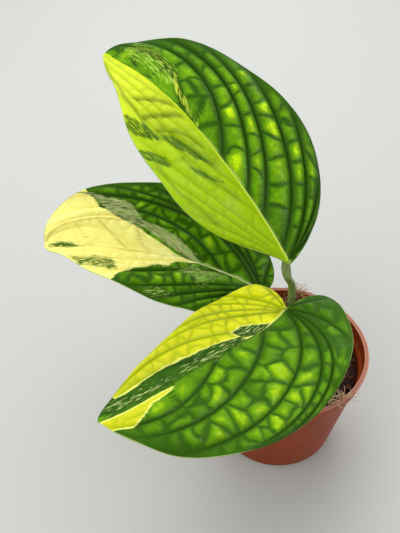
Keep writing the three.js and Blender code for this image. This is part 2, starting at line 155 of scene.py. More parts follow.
# veins are pairs of main veins: where on the midrib a pair springs, and the places round the
# outline, from 0 at the cleft to 1 at the tip, that its left and right veins head for. left
# and right shape the two halves, and their puckered is how far each stands up between veins.
# A blade's sectors are outlines in parts of its length: x from the petiole to the tip, y from
# the midrib, positive on the left half. pale is solid cream, yellow or chartreuse; grey is the
# thin half-green tissue beside it; green is cut back out of pale; deep is darker green; dark
# is green streaked into pale; fleck is pale streaked into green, and fleck_from is how strong
# a thread has to be to show as one.
# wander is how far a sector's edge strays, turns is where along the blade its pale colour
# turns from the petiole's to the tip's, pale_lines is how strongly veins show in it and ridges
# how strongly its bulges show as painted light with painted shade between them. midrib_line is
# how wide the pale midrib is drawn, and midrib_shows how far along.
# creases are lines pressed into the blade and painted darker along them, mostly as painted
# shade and in places as the blade's own vein or midrib line: width in millimetres, strength and
# the line.
# cell is the length of the cells between two veins, double the gap from which two rows of
# them stand side by side, and crisp how sharp their borders are. glow is how lime the cells
# are painted, partly their own colour and partly painted light, and glows are places that are
# more or less so, among them painted sheen near leaf_top's petiole, while the negative ones are
# painted shade: x, y, reach in millimetres and how much.
LEAVES = {
    "leaf_top": {
        "length": 167, "base": (-3.3, -5.4, 139.7), "bearing": 130.1, "turn": 0.4,
        "turn_growth": 4.7, "rise": 38, "droop": 5, "droop_growth": 40, "roll": 1.1, "twist": -13,
        "swing": 2.5, "swing_start": 0.14, "swing_span": 0.6,
        "cleft": 1.8, "margin_wave": 1.3, "wave_phase": 0.6, "midrib_shows": 0.55,
        "midrib_line": 1,
        "veins": [(0, 0.14, 0.1), (0, 0.27, 0.22), (0, 0.395, 0.346), (0.04, 0.5, 0.485),
                  (0.157, 0.63, 0.615), (0.242, 0.73, 0.705), (0.374, 0.83, 0.811),
                  (0.594, 0.92, 0.91)],
        "left": {"fold": 23, "curl": 15.5, "width": 46.6, "widest": 56.3, "lobe_back": -9.7,
                 "lobe_out": 11.5, "shoulder": 29.7, "taper": 43.2, "tip_length": 10,
                 "tip_width": 10.7, "arch": 0.14, "arch_growth": 0.2, "puckered": 0.5},
        "right": {"fold": 18.2, "curl": 14.2, "width": 50.3, "widest": 58.4, "lobe_back": -4.8,
                  "lobe_out": 15, "shoulder": 34.2, "taper": 57.8, "tip_length": 5,
                  "tip_width": 12.9, "arch": 0.23, "arch_growth": 0.14, "puckered": 1},
        "petiole": [(1.4, 3.6, 84), (1.9, 1.8, 100), (0.6, -1.4, 120)],
        "sectors": {
            "pale": [
                [(-0.2, 0), (0.5, 0), (0.6, 0.003), (0.7, 0.013), (0.8, 0.017), (0.88, 0.015),
                 (0.935, 0.004), (0.965, -0.006), (1.1, -0.01), (1.1, 0.5), (-0.2, 0.5)],
            ],
            "grey": [
                [(0.725, -0.08), (0.709, -0.066), (0.65, -0.037), (0.617, -0.031),
                 (0.56, -0.016), (0.505, -0.005), (0.576, -0.008), (0.62, -0.016),
                 (0.66, -0.026), (0.7, -0.05)],
            ],
            "green": [],
            "deep": [],
            "dark": [
                [(0.62, 0.212), (0.585, 0.193), (0.539, 0.172), (0.49, 0.176), (0.51, 0.2),
                 (0.54, 0.226), (0.58, 0.24)],
                [(0.505, 0.27), (0.471, 0.222), (0.446, 0.198), (0.41, 0.198), (0.414, 0.223),
                 (0.444, 0.245), (0.47, 0.29)],
                [(0.515, 0.156), (0.503, 0.113), (0.466, 0.092), (0.426, 0.074),
                 (0.372, 0.052), (0.397, 0.101), (0.44, 0.129), (0.473, 0.158)],
                [(0.389, 0.158), (0.369, 0.122), (0.339, 0.101), (0.307, 0.071),
                 (0.32, 0.113), (0.351, 0.14)],
            ],
            "fleck": [
                [(0.94, -0.04), (0.9, -0.09), (0.8, -0.1), (0.73, -0.09), (0.69, -0.06),
                 (0.655, -0.02), (0.75, -0.014), (0.88, -0.02)],
                [(0.273, 0.091), (0.24, 0.058), (0.22, 0.085), (0.168, 0.08), (0.185, 0.113),
                 (0.247, 0.15)],
            ],
        },
        "wander": 6, "turns": (0.35, 0.8), "pale_lines": 0.12, "ridges": 0.3, "fleck_from": 0.58,
        "creases": [
            (1.1, 0.7, [(0.93, 0.06), (0.79, 0.131), (0.688, 0.167), (0.631, 0.169),
                        (0.572, 0.181), (0.523, 0.183), (0.49, 0.158)]),
            (2.0, 0.9, [(0.673, 0.13), (0.651, 0.074), (0.618, 0.03)]),
            (2.2, 0.9, [(0.587, 0.164), (0.586, 0.117), (0.577, 0.067), (0.564, 0.032)]),
            (2.0, 0.8, [(0.528, 0.153), (0.515, 0.097), (0.484, 0.065), (0.44, 0.045)]),
            (1.4, 0.5, [(0.46, 0.235), (0.408, 0.249), (0.332, 0.255), (0.2, 0.2)]),
            (1.6, 0.5, [(0.42, 0.15), (0.34, 0.13), (0.24, 0.06)]),
            (4.6, 0.5, [(0.53, 0.13), (0.45, 0.09), (0.37, 0.05)]),
            (0.7, 0.9, [(0.96, 0.002), (0.5, 0.002)]),
        ],
        "cell": 12, "double": 30, "crisp": 0.04,
        "glow": 0.4,
        "glows": [(0.626, -0.158, 4.6, 0.7), (0.56, -0.166, 4.6, 1.0), (0.488, -0.121, 4.6, 0.9),
                  (0.45, -0.235, 4.6, 0.8), (0.368, -0.209, 4.6, 1.0), (0.388, -0.274, 4.6, 0.5),
                  (0.578, -0.231, 4.6, 0.4), (0.674, -0.201, 4.6, 0.3),
                  (0.674, -0.098, 4.6, 0.4), (0.789, -0.121, 4.6, 0.3),
                  (0.272, -0.233, 4.6, 0.9), (0.214, -0.195, 4.6, 0.8),
                  (0.337, -0.148, 4.6, 0.4), (0.351, -0.03, 4.6, 0.4), (0.416, -0.137, 4.6, 0.7),
                  (0.374, -0.095, 4.6, 0.6), (0.315, -0.066, 4.6, 0.5), (0.5, -0.17, 4.6, 0.5),
                  # The spot at 0.08 along is painted sheen near the petiole.
                  (0.3, -0.11, 4.6, 0.4), (0.08, -0.12, 6, 0.4), (0.27, -0.03, 4.6, 0.3)],
    },
    "leaf_left": {
        "length": 129, "base": (-12.5, 18.4, 97), "bearing": 160, "turn": 30.2,
        "turn_growth": 0.6, "rise": 18, "droop": 15, "droop_growth": 0, "roll": -23.2,
        "twist": 2.3, "swing": -2.8, "swing_start": 0.01, "swing_span": 0.56,
        "cleft": 1.8, "margin_wave": 1.2, "wave_phase": 2.2, "midrib_shows": 0.55,
        "midrib_line": 0.9,
        "veins": [(0, 0.1, 0.1), (0, 0.22, 0.25), (0, 0.34, 0.38), (0, 0.44, 0.5),
                  (0.03, 0.534, 0.607), (0.2, 0.69, 0.75), (0.35, 0.82, 0.85),
                  (0.59, 0.92, 0.933)],
        "left": {"fold": 18.5, "curl": 5.8, "width": 35.4, "widest": 43.8, "lobe_back": 12.6,
                 "lobe_out": 17.4, "shoulder": 26.4, "taper": 34.9, "tip_length": 6.7,
                 "tip_width": 10.2, "arch": 0.08, "arch_growth": 0, "puckered": 1},
        "right": {"fold": 14.9, "curl": 6.9, "width": 44.7, "widest": 61.8, "lobe_back": 12.2,
                  "lobe_out": 18.1, "shoulder": 25.8, "taper": 58.7, "tip_length": -2,
                  "tip_width": 11.1, "arch": 0.18, "arch_growth": 0.46, "puckered": 0.7},
        "petiole": [(1.6, 7.2, 70), (-4.2, 11.4, 78), (-8.6, 16.4, 88)],
        "sectors": {
            "pale": [
                [(0.86, -0.4), (0.827, -0.257), (0.794, -0.224), (0.772, -0.184),
                 (0.73, -0.171), (0.684, -0.144), (0.628, -0.119), (0.596, -0.108),
                 (0.553, -0.082), (0.495, -0.059), (0.435, -0.022), (0.36, -0.004),
                 (0.308, 0.0), (0.411, 0.029), (0.447, 0.066), (0.494, 0.067),
                 (0.56, 0.098), (0.626, 0.122), (0.653, 0.147), (0.673, 0.171),
                 (0.7, 0.25), (1.1, 0.3), (1.1, -0.4)],
            ],
            "grey": [
                [(0.86, -0.252), (0.835, -0.251), (0.796, -0.235), (0.758, -0.189),
                 (0.722, -0.162), (0.676, -0.137), (0.642, -0.123), (0.569, -0.108),
                 (0.54, -0.094), (0.497, -0.067), (0.456, -0.05), (0.415, -0.034),
                 (0.34, -0.002), (0.28, -0.002), (0.319, -0.024), (0.36, -0.052),
                 (0.392, -0.071), (0.425, -0.093), (0.457, -0.112), (0.5, -0.125),
                 (0.535, -0.134), (0.587, -0.145), (0.612, -0.171), (0.639, -0.21),
                 (0.684, -0.233), (0.748, -0.234), (0.793, -0.253)],
            ],
            "green": [],
            "deep": [],
            "dark": [
                [(0.9, 0.073), (0.886, 0.085), (0.846, 0.113), (0.8, 0.118), (0.745, 0.126),
                 (0.7, 0.132), (0.672, 0.125), (0.676, 0.11), (0.685, 0.092), (0.697, 0.068),
                 (0.752, 0.073), (0.78, 0.067), (0.808, 0.079), (0.874, 0.073)],
                [(0.978, -0.008), (0.951, -0.016), (0.903, -0.025), (0.821, 0.001),
                 (0.891, 0.018), (0.944, 0.009)],
            ],
            "fleck": [
                [(0.56, -0.13), (0.46, -0.108), (0.39, -0.066), (0.3, -0.012), (0.34, -0.006),
                 (0.42, -0.042), (0.5, -0.078)],
                [(0.372, 0.086), (0.344, 0.091), (0.296, 0.12), (0.248, 0.106),
                 (0.215, 0.07), (0.177, 0.04), (0.225, 0.046), (0.291, 0.062)],
                [(0.44, 0.09), (0.344, 0.02), (0.2, 0.01), (0.177, 0.04), (0.3, 0.1)],
                [(0.55, 0.215), (0.465, 0.2), (0.4, 0.208), (0.423, 0.228), (0.53, 0.24)],
            ],
        },
        "wander": 5, "turns": (0.1, 0.7), "pale_lines": 0.15, "ridges": 0.6, "fleck_from": 0.56,
        "creases": [
            (0.6, 0.9, [(0.99, -0.03), (0.974, -0.06), (0.928, -0.095), (0.868, -0.112),
                        (0.777, -0.131), (0.689, -0.132), (0.61, -0.138)]),
            (0.6, 0.8, [(0.77, -0.119), (0.707, -0.061), (0.641, -0.002)]),
            (0.6, 0.6, [(0.867, -0.103), (0.828, -0.049), (0.799, 0.0)]),
            (0.7, 0.8, [(0.606, -0.13), (0.606, -0.096), (0.572, -0.03), (0.535, -0.004)]),
            (0.5, 1.0, [(0.98, 0), (0.8, 0.001), (0.45, 0.001)]),
        ],
        "cell": 10.5, "double": 14, "crisp": 0.3,
        "glow": 0.52,
        "glows": [(0.74, -0.281, 4.2, 0.5), (0.643, -0.286, 4.2, 0.5), (0.567, -0.282, 4.2, 0.5),
                  (0.605, -0.224, 4.2, 0.5), (0.503, -0.157, 4.2, 0.6),
                  (0.279, -0.107, 4.2, 0.6), (0.484, 0.152, 4.2, 0.4), (0.391, 0.12, 4.2, 0.4),
                  (0.398, -0.113, 4.2, 0.5)],
    },
    "leaf_front": {
        "length": 120.7, "base": (-2.6, -8.7, 108), "bearing": 235.7, "turn": -48.8,
        "turn_growth": 25.7, "rise": 7, "droop": 8, "droop_growth": 0, "roll": -2,
        "twist": -13.9, "swing": 4.2, "swing_start": 0.49, "swing_span": 0.7,
        "cleft": 2.1, "margin_wave": 1.2, "wave_phase": 4.1, "midrib_shows": 0.15,
        "midrib_line": 0.55,
        "veins": [(0, 0.09, 0.12), (0, 0.2, 0.27), (0, 0.33, 0.42), (0, 0.452, 0.558),
                  (0, 0.639, 0.69), (0.187, 0.811, 0.81), (0.444, 0.92, 0.92)],
        "left": {"fold": 5.1, "curl": 15.6, "width": 50.8, "widest": 40.9, "lobe_back": 58.9,
                 "lobe_out": 13, "shoulder": 31.9, "taper": 56.1, "tip_length": 8.7,
                 "tip_width": 11.3, "arch": 0.47, "arch_growth": -0.43, "puckered": 1},
        "right": {"fold": 3.4, "curl": 11.7, "width": 32.1, "widest": 20.8, "lobe_back": 19.9,
                  "lobe_out": 17, "shoulder": 30, "taper": 28.4, "tip_length": 5.3,
                  "tip_width": 10.4, "arch": 0.275, "arch_growth": -0.12, "puckered": 1},
        "petiole": [(1.2, 3.4, 74), (-0.6, -2.6, 84), (-1.4, -6, 95)],
        "sectors": {
            "pale": [
                [(-0.3, 0), (0.1, 0), (0.2, -0.002), (0.277, -0.006), (0.311, -0.034),
                 (0.379, -0.047), (0.445, -0.054), (0.518, -0.058), (0.582, -0.067),
                 (0.655, -0.075), (0.736, -0.07), (0.813, -0.06), (0.864, -0.052),
                 (0.905, -0.053), (0.94, -0.2), (0.9, -0.5), (-0.3, -0.5)],
                [(0.66, 0.012), (0.713, 0.03), (0.792, 0.034), (0.833, 0.06),
                 (0.894, 0.082), (0.928, 0.068), (0.99, 0.05), (1.05, 0.007),
                 (0.9, 0.01), (0.75, 0.006)],
            ],
            "grey": [],
            "green": [
                [(0.315, -0.068), (0.248, -0.07), (0.17, -0.03), (0.123, -0.006),
                 (0.169, -0.002), (0.235, -0.004), (0.291, -0.026)],
            ],
            "deep": [
                [(0.1, 0.0), (0.2, -0.08), (0.32, -0.08), (0.473, -0.06), (0.559, -0.066),
                 (0.644, -0.085), (0.743, -0.085), (0.851, -0.07), (0.919, -0.06),
                 (1.0, -0.01), (0.9, 0.004), (0.75, 0.004), (0.6, 0.006), (0.4, 0.004),
                 (0.25, 0.002)],
            ],
            "dark": [],
            "fleck": [
                [(0.315, -0.068), (0.248, -0.07), (0.17, -0.03), (0.123, -0.006),
                 (0.169, -0.002), (0.235, -0.004), (0.291, -0.026)],
                [(0.985, -0.01), (0.94, -0.042), (0.88, -0.042), (0.8, -0.036), (0.74, -0.032),
                 (0.68, -0.032), (0.63, -0.018), (0.7, -0.006), (0.8, -0.004), (0.9, -0.002)],
                [(0.62, -0.03), (0.54, -0.044), (0.47, -0.04), (0.4, -0.042), (0.32, -0.028),
                 (0.27, -0.004), (0.35, -0.002), (0.45, 0.0), (0.55, -0.006), (0.61, -0.014)],
            ],
        },
        "wander": 1.4, "turns": (0.1, 0.7), "pale_lines": 0.75, "ridges": 1, "fleck_from": 0.575,
        "creases": [(2.2, 0.6, [(0.07, -0.012), (0.0, -0.02)])],
        "cell": 10.5, "double": 14, "crisp": 0.4,
        "glow": 0.42,
        # The three negative glows are painted shade.
        "glows": [(-0.05, 0.2, 22, -0.35), (0.3, 0.1, 7, -0.25), (0.4, 0.17, 5, -0.2),
                  (0.507, 0.062, 5, 0.7), (0.569, 0.138, 5, 0.7), (0.615, 0.239, 5, 0.35),
                  (0.543, 0.252, 5, 1.0), (0.339, 0.053, 5, 0.5), (0.274, 0.185, 5, 1.0),
                  (0.365, 0.254, 5, 1.0), (0.357, 0.166, 5, 0.5), (0.241, 0.282, 5, 0.6),
                  (0.296, 0.311, 5, 0.9), (0.436, 0.355, 5, 1.0), (0.161, 0.213, 5, 0.6),
                  (0.005, 0.242, 5, 0.6), (0.096, 0.303, 5, 0.7), (0.177, 0.083, 5, 0.5),
                  (0.739, 0.211, 5, 0.6), (0.666, 0.262, 5, 0.6), (0.541, 0.352, 5, 0.6),
                  (0.663, 0.065, 5, 0.5), (0.784, 0.065, 5, 0.5), (0.357, 0.37, 5, 0.8),
                  (0.449, 0.29, 5, 0.7), (0.259, 0.384, 5, 0.8), (0.211, 0.36, 5, 0.5),
                  (0.328, 0.379, 5, 0.6)],
    },
}


class PotSettings(bpy.types.PropertyGroup):
    sides: bpy.props.IntProperty(
        name="Sides", description="Facets round the pot", default=192, min=48, max=512)
    wall_colour: colour_property("Pot colour", "Colour of the moulded pot", "9a3e12")


class MixSettings(bpy.types.PropertyGroup):
    crumbs: bpy.props.IntProperty(
        name="Crumbs", description="Loose crumbs and bark chips on the mix", default=1100,
        min=0, max=4000)
    strands: bpy.props.IntProperty(
        name="Strands", description="Strands of moss and fibre on the mix and the rim",
        default=620, min=0, max=2000)
    peat_colour: colour_property("Peat colour", "Colour of the damp mix", "200e08")
    fibre_colour: colour_property("Fibre colour", "Colour of the dry moss", "e0c096")


class BladeSettings(bpy.types.PropertyGroup):
    columns_per_gap: bpy.props.IntProperty(
        name="Columns a vein gap", description="Grid columns between two veins", default=20,
        min=4, max=40)
    rows: bpy.props.IntProperty(
        name="Rows", description="Grid rows from midrib to margin", default=118, min=9, max=160)
    thickness: bpy.props.FloatProperty(
        name="Thickness", description="Thickness of a blade", default=0.8 * MM, min=0.2 * MM,
        max=2 * MM, subtype="DISTANCE", unit="LENGTH")
    pucker: bpy.props.FloatProperty(
        name="Pucker height", description="How far a blade stands proud between its veins",
        default=1.7 * MM, min=0.0, max=4 * MM, subtype="DISTANCE", unit="LENGTH")
    vein_groove: bpy.props.FloatProperty(
        name="Vein groove", description="Depth of the sharp groove along each vein",
        default=0.26 * MM, min=0.0, max=MM, subtype="DISTANCE", unit="LENGTH")


class StudioSettings(bpy.types.PropertyGroup):
    floor_colour: colour_property("Floor colour", "Colour of the plain floor", "bdbeba")
    key_power: bpy.props.FloatProperty(
        name="Key light", description="Power of the overhead soft box", default=5.6, min=0.0,
        subtype="POWER", unit="POWER")
    sky: bpy.props.FloatProperty(
        name="Fill", description="Strength of the even light from all round", default=0.62,
        min=0.0, max=4.0)


# Numbers and curves

def ramp(values, low, high):
    """0 below low, 1 above high, and a straight line between."""
    return np.clip((values - low) / (high - low), 0, 1)


def bell(distance, reach):
    """1 at no distance, falling off as a Gaussian with that reach."""
    return np.exp(-(distance / reach) ** 2)


def bezier(points, u):
    """The cubic Bezier of four points at each u, weighted (1-u)^3, 3u(1-u)^2, 3u^2(1-u), u^3."""
    weights = [(1 - u) ** 3, 3 * u * (1 - u) ** 2, 3 * u ** 2 * (1 - u), u ** 3]
    return sum(w[..., None] * np.array(p, float) for w, p in zip(weights, points))


def lattice_noise(x, y, cell, seed):
    """Smooth noise from -1 to 1: random values on a square lattice of that cell size, blended
    between its corners with the curve 3f^2 - 2f^3."""
    values = np.random.default_rng(seed).uniform(-1, 1, (64, 64))
    column, row = x / cell, y / cell
    i, j = np.floor(column).astype(int), np.floor(row).astype(int)
    f, g = column - i, row - j
    f, g = f * f * (3 - 2 * f), g * g * (3 - 2 * g)
    corner = lambda a, b: values[(i + a) % 64, (j + b) % 64]
    near = corner(0, 0) * (1 - f) + corner(1, 0) * f
    far = corner(0, 1) * (1 - f) + corner(1, 1) * f
    return near * (1 - g) + far * g


def smooth_route(points, count):
    """Points at equal spacing along the centripetal Catmull-Rom curve through the given ones,
    whose end tangents come from points mirrored past each end."""
    points = np.array(points, float)
    first, last = 2 * points[0] - points[1], 2 * points[-1] - points[-2]
    held = np.vstack([first, points, last])
    dense = []
    for a, b, c, d in zip(held[:-3], held[1:-2], held[2:-1], held[3:]):
        k = [0.0]
        for one, two in ((a, b), (b, c), (c, d)):
            k.append(k[-1] + math.sqrt(np.linalg.norm(two - one)))
        t = np.linspace(k[1], k[2], 40, endpoint=False)[:, None]
        ab = ((k[1] - t) * a + (t - k[0]) * b) / (k[1] - k[0])
        bc = ((k[2] - t) * b + (t - k[1]) * c) / (k[2] - k[1])
        cd = ((k[3] - t) * c + (t - k[2]) * d) / (k[3] - k[2])
        abc = ((k[2] - t) * ab + (t - k[0]) * bc) / (k[2] - k[0])
        bcd = ((k[3] - t) * bc + (t - k[1]) * cd) / (k[3] - k[1])
        dense.append(((k[2] - t) * abc + (t - k[1]) * bcd) / (k[2] - k[1]))
    dense = np.vstack(dense + [points[-1:]])
    run = np.append(0, np.cumsum(np.linalg.norm(np.diff(dense, axis=0), axis=1)))
    places = np.linspace(0, run[-1], count)
    return np.stack([np.interp(places, run, dense[:, i]) for i in range(3)], 1), run[-1]


def line_distance(x, y, line):
    """How far each point is from a line of straight pieces."""
    nearest = np.full(x.shape, np.inf)
    for (ax, ay), (bx, by) in zip(line[:-1], line[1:]):
        ex, ey = bx - ax, by - ay
        along = np.clip(((x - ax) * ex + (y - ay) * ey) / (ex * ex + ey * ey), 0, 1)
        nearest = np.minimum(nearest, np.hypot(x - ax - along * ex, y - ay - along * ey))
    return nearest


def signed_distance(x, y, outline):
    """How far inside a closed outline each point is, negative outside: the least distance to
    its edges, with the sign from how many edges a ray to the right crosses."""
    closed = np.vstack([outline, outline[:1]])
    nearest = line_distance(x, y, closed)
    inside = np.zeros(x.shape, bool)
    for (ax, ay), (bx, by) in zip(closed[:-1], closed[1:]):
        if ay != by:
            inside ^= ((ay > y) != (by > y)) & (x < ax + (bx - ax) * (y - ay) / (by - ay))
    return np.where(inside, nearest, -nearest)


# Meshes

def add_mesh(name, points, faces, attributes=(), uv=None, smooth=True):
    """An object at the origin from points in millimetres and triangles or quads."""
    mesh = bpy.data.meshes.new(name)
    mesh.from_pydata(points * MM, [], faces)
    mesh.update()
    for label, values in dict(attributes).items():
        layer = mesh.attributes.new(label, "FLOAT", "POINT")
        layer.data.foreach_set("value", np.asarray(values, np.float32))
    for label, place in dict(uv or {}).items():
        mesh.uv_layers.new(name=label).data.foreach_set(
            "uv", np.asarray(place, np.float32).ravel())
    mesh.polygons.foreach_set("use_smooth", np.full(len(mesh.polygons), smooth))
    made = bpy.data.objects.new(name, mesh)
    bpy.context.scene.collection.objects.link(made)
    return made


def dress(piece, node, material):
    """Gives a piece its material, hangs it on the root body and hides the solid part it stands for.
    """
    piece.data.materials.append(material)
    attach(piece, "root")
    if node:
        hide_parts(node)
    return piece


def ring_faces(count, sides):
    """Quads between each two of count rings of points, and a fan from each end ring to a
    point of its own, which follow the rings."""
    k = np.arange(sides)
    after = (k + 1) % sides
    low = (np.arange(count - 1) * sides)[:, None]
    quads = np.stack([low + k, low + after, low + sides + after, low + sides + k], -1)
    foot, head = count * sides, (count - 1) * sides
    first = np.stack([np.full(sides, foot), after, k], -1)
    last = np.stack([np.full(sides, foot + 1), head + k, head + after], -1)
    return quads.reshape(-1, 4).tolist() + first.tolist() + last.tolist()


def swept(route, radii, sides, squash=None):
    """A tube: rings of points round each place on a route, turned as little as can be from one
    ring to the next, and closed to a point at each end. squash gives each spoke's share of
    the radius."""
    ahead = np.gradient(route, axis=0)
    ahead /= np.linalg.norm(ahead, axis=1)[:, None]
    across = np.zeros_like(route)
    start = np.array([0.0, 1.0, 0.0]) if abs(ahead[0][1]) < 0.8 else np.array([1.0, 0.0, 0.0])
    across[0] = np.cross(ahead[0], start)
    for i in range(1, len(route)):
        across[i] = across[i - 1] - ahead[i] * (across[i - 1] @ ahead[i])
    across /= np.linalg.norm(across, axis=1)[:, None]
    other = np.cross(ahead, across)
    angle = 2 * np.pi * np.arange(sides) / sides
    share = np.ones((len(route), sides)) if squash is None else squash
    spoke = across[:, None] * np.cos(angle)[None, :, None]
    spoke = spoke + other[:, None] * np.sin(angle)[None, :, None]
    rings = route[:, None] + spoke * (radii[:, None] * share)[..., None]
    points = np.vstack([rings.reshape(-1, 3), route[:1], route[-1:]])
    return points, ring_faces(len(route), sides)


# Materials

# What each kind of node is: its type, the inputs that are given in order, its settings and
# the output that is passed on. Without one, the node itself is.
SPAN = ("Value", "From Min", "From Max", "To Min", "To Max")
NODES = {
    "surface": ("BsdfPrincipled", (), {}, None),
    "end": ("OutputMaterial", ("Surface",), {}, None),
    "place": ("TexCoord", (), {}, "Object"),
    "map": ("UVMap", (), {}, 0),
    "attribute": ("Attribute", (), {}, "Fac"),
    "stretch": ("Mapping", ("Vector", "Scale"), {}, 0),
    "noise": ("TexNoise", ("Vector", "Scale", "Detail", "Roughness"), {}, 0),
    "net": ("TexVoronoi", ("Vector", "Scale"), {"feature": "DISTANCE_TO_EDGE"}, "Distance"),
    "height": ("SeparateXYZ", ("Vector",), {}, 2),
    "range": ("MapRange", SPAN, {}, 0),
    "soft range": ("MapRange", SPAN, {"interpolation_type": "SMOOTHSTEP"}, 0),
    "blend": ("Mix", (0, 6, 7), {"data_type": "RGBA"}, 2),
    "number blend": ("Mix", (0, 2, 3), {"data_type": "FLOAT"}, 0),
    "bump": ("Bump", ("Height", "Strength", "Distance"), {}, 0),
    **{operation: ("Math", (0, 1), {"operation": operation.upper()}, 0)
       for operation in ("add", "subtract", "multiply", "minimum")},
}


def set_inputs(tree, node, values):
    """Links each input that is given an output, and sets the others."""
    for socket, value in values.items():
        if isinstance(value, bpy.types.NodeSocket):
            tree.links.new(value, node.inputs[socket])
        else:
            node.inputs[socket].default_value = value


def add(tree, kind, *values, **settings):
    """Adds one node with its settings and links. Each value is a number or colour, or an
    output to link from."""
    node_type, inputs, usual, output = NODES[kind]
    made = tree.nodes.new("ShaderNode" + node_type)
    for name, value in {**usual, **settings}.items():
        setattr(made, name, value)
    set_inputs(tree, made, dict(zip(inputs, values)))
    return made if output is None else made.outputs[output]


def blank_material(name):
    """A material with only its surface shader and output, and that tree and shader."""
    made = bpy.data.materials.new(name)
    made.use_nodes = True
    tree = made.node_tree
    tree.nodes.clear()
    shader = add(tree, "surface")
    add(tree, "end", shader.outputs[0])
    return made, tree, shader


def rgba(colour):
    """A hex colour, or a linear one, as a colour socket takes it."""
    return (*(linear(colour) if isinstance(colour, str) else colour), 1.0)


def pot_material(colour):
    """Injection-moulded polypropylene: coloured through, with the soft satin shine of a steel
    mould, faint flow marks, fine rings round it, a painted highlight along its lip and a film of
    dried water and dust."""
    made, tree, shader = blank_material("moulded_polypropylene")
    place = add(tree, "place")

    # Flow marks are 22 mm across, rings 6 mm long and 1 mm high, and dust 2.4 mm. The lip is
    # painted pale as a highlight over its last 0.8 mm.
    flow = add(tree, "range", add(tree, "noise", place, 45.0, 4.0), 0.3, 0.7)
    rings = add(tree, "noise", add(tree, "stretch", place, (1.0, 1.0, 6.0)), 160.0, 3.0)
    dust = add(tree, "range", add(tree, "noise", place, 420.0, 3.0), 0.66, 0.74)
    lip = add(tree, "range", add(tree, "height", place), 0.0692, 0.0699, 0.0, 0.6)
    base = add(tree, "blend", flow, rgba([c * 0.8 for c in colour]), rgba(colour))
    lip_highlight = add(tree, "blend", lip, base, rgba("dba28c"))
    set_inputs(tree, shader, {
        "Base Color": add(tree, "blend", dust, lip_highlight, rgba("9b6a52")),
        "Roughness": add(tree, "range", rings, 0.0, 1.0, 0.38, 0.56),
        "Normal": add(tree, "bump", rings, 0.25, 0.0002),
        "IOR": 1.49,
        "Specular IOR Level": 0.18,
    })
    return made


def mix_material(name, dark, light, shine):
    """Damp peat and composted bark: nearly black when wet, with red-brown fibre and paler dry
    crumbs, dull apart from a glint of moisture."""
    made, tree, shader = blank_material(name)
    place = add(tree, "place")

    # Grains are 1.6 mm across, and lighter and darker patches 8 mm.
    grain = add(tree, "noise", place, 620.0, 5.0)
    patch = add(tree, "noise", place, 130.0, 3.0)
    tone = add(tree, "attribute", attribute_name="tone")
    lighter = add(tree, "add", add(tree, "multiply", grain, patch), tone)
    share = add(tree, "range", lighter, 0.2, 1.25)
    set_inputs(tree, shader, {
        "Base Color": add(tree, "blend", share, rgba(dark), rgba(light)),
        "Roughness": shine,
        "Normal": add(tree, "bump", grain, 0.8, 0.0006),
    })
    return made


def stalk_material():
    """Living plant skin: smooth and satin, green with paler flecks in lengthwise rows, and
    browner where the stem leaves the mix."""
    made, tree, shader = blank_material("monstera_stalk_skin")

    # Flecks are 0.6 mm wide and 5 mm long. The brown fades out from 60 to 76 mm up.
    rows = add(tree, "stretch", add(tree, "map", uv_map="surface"), (1.0, 0.12, 1.0))
    fleck = add(tree, "noise", rows, 1.6, 3.0)
    flecks = add(tree, "range", fleck, 0.42, 0.68)
    low = add(tree, "range", add(tree, "height", add(tree, "place")), 0.076, 0.06)
    green = add(tree, "blend", flecks, rgba("66783a"), rgba("94a263"))
    set_inputs(tree, shader, {
        "Base Color": add(tree, "blend", low, green, rgba("6a5a30")),
        "Roughness": 0.38,
        "Normal": add(tree, "bump", fleck, 0.3, 0.0002),
        "Subsurface Weight": 0.1,
        "Subsurface Radius": (0.001, 0.002, 0.0005),
    })
    return made


def fibre_material(colour):
    """Dried sphagnum and coir: matt, straw to fox-red, each strand its own shade."""
    made, tree, shader = blank_material("dry_moss_fibre")
    tone = add(tree, "attribute", attribute_name="tone")
    set_inputs(tree, shader, {
        "Base Color": add(tree, "blend", tone, rgba("8a4424"), rgba(colour)),
        "Roughness": 0.8,
    })
    return made


# Each blade's colours: green for painted shade in the hollows, body green, lime on the bulges,
# partly its own and partly painted light; the pale sector near the petiole, near the tip, in its
# painted shade, at its edge and on its veins, which also darkens it as painted shade in creases;
# half-green tissue; green streaks in pale and pale flecks in green; the midrib; the underside.
TONES = {
    "leaf_top": {"vein": "1c3604", "hollow": "2c5406", "green": "609406", "lime": "c0e408",
                 "pale_base": "9cc006", "pale": "d4e028", "pale_shade": "7c9c04",
                 "pale_edge": "c4dc20", "pale_vein_and_crease_shade": "465f00", "grey": "bccc3c",
                 "streak": "305a0c", "fleck": "a8c848", "midrib": "d6e86a",
                 "under": "8fae5a"},
    "leaf_left": {"vein": "1c3a08", "hollow": "305806", "green": "60960e", "lime": "a8d014",
                  "pale_base": "fffcb4", "pale": "fff88c", "pale_shade": "fbf07c",
                  "pale_edge": "ece884", "pale_vein_and_crease_shade": "c8a84c", "grey": "babe80",
                  "streak": "4a6a1c", "fleck": "b4cc70", "midrib": "f6f6b4",
                  "under": "9fb46a"},
    "leaf_front": {"vein": "204004", "hollow": "305a06", "green": "5c9008", "lime": "9cc60c",
                   "pale_base": "f2f224", "pale": "d2d028", "pale_shade": "c2ce0c",
                   "pale_edge": "eef280", "pale_vein_and_crease_shade": "8c9c0e", "grey": "a9ba5a",
                   "streak": "27500e", "fleck": "c6d680", "midrib": "d2e08c",
                   "under": "98b45c"},
}


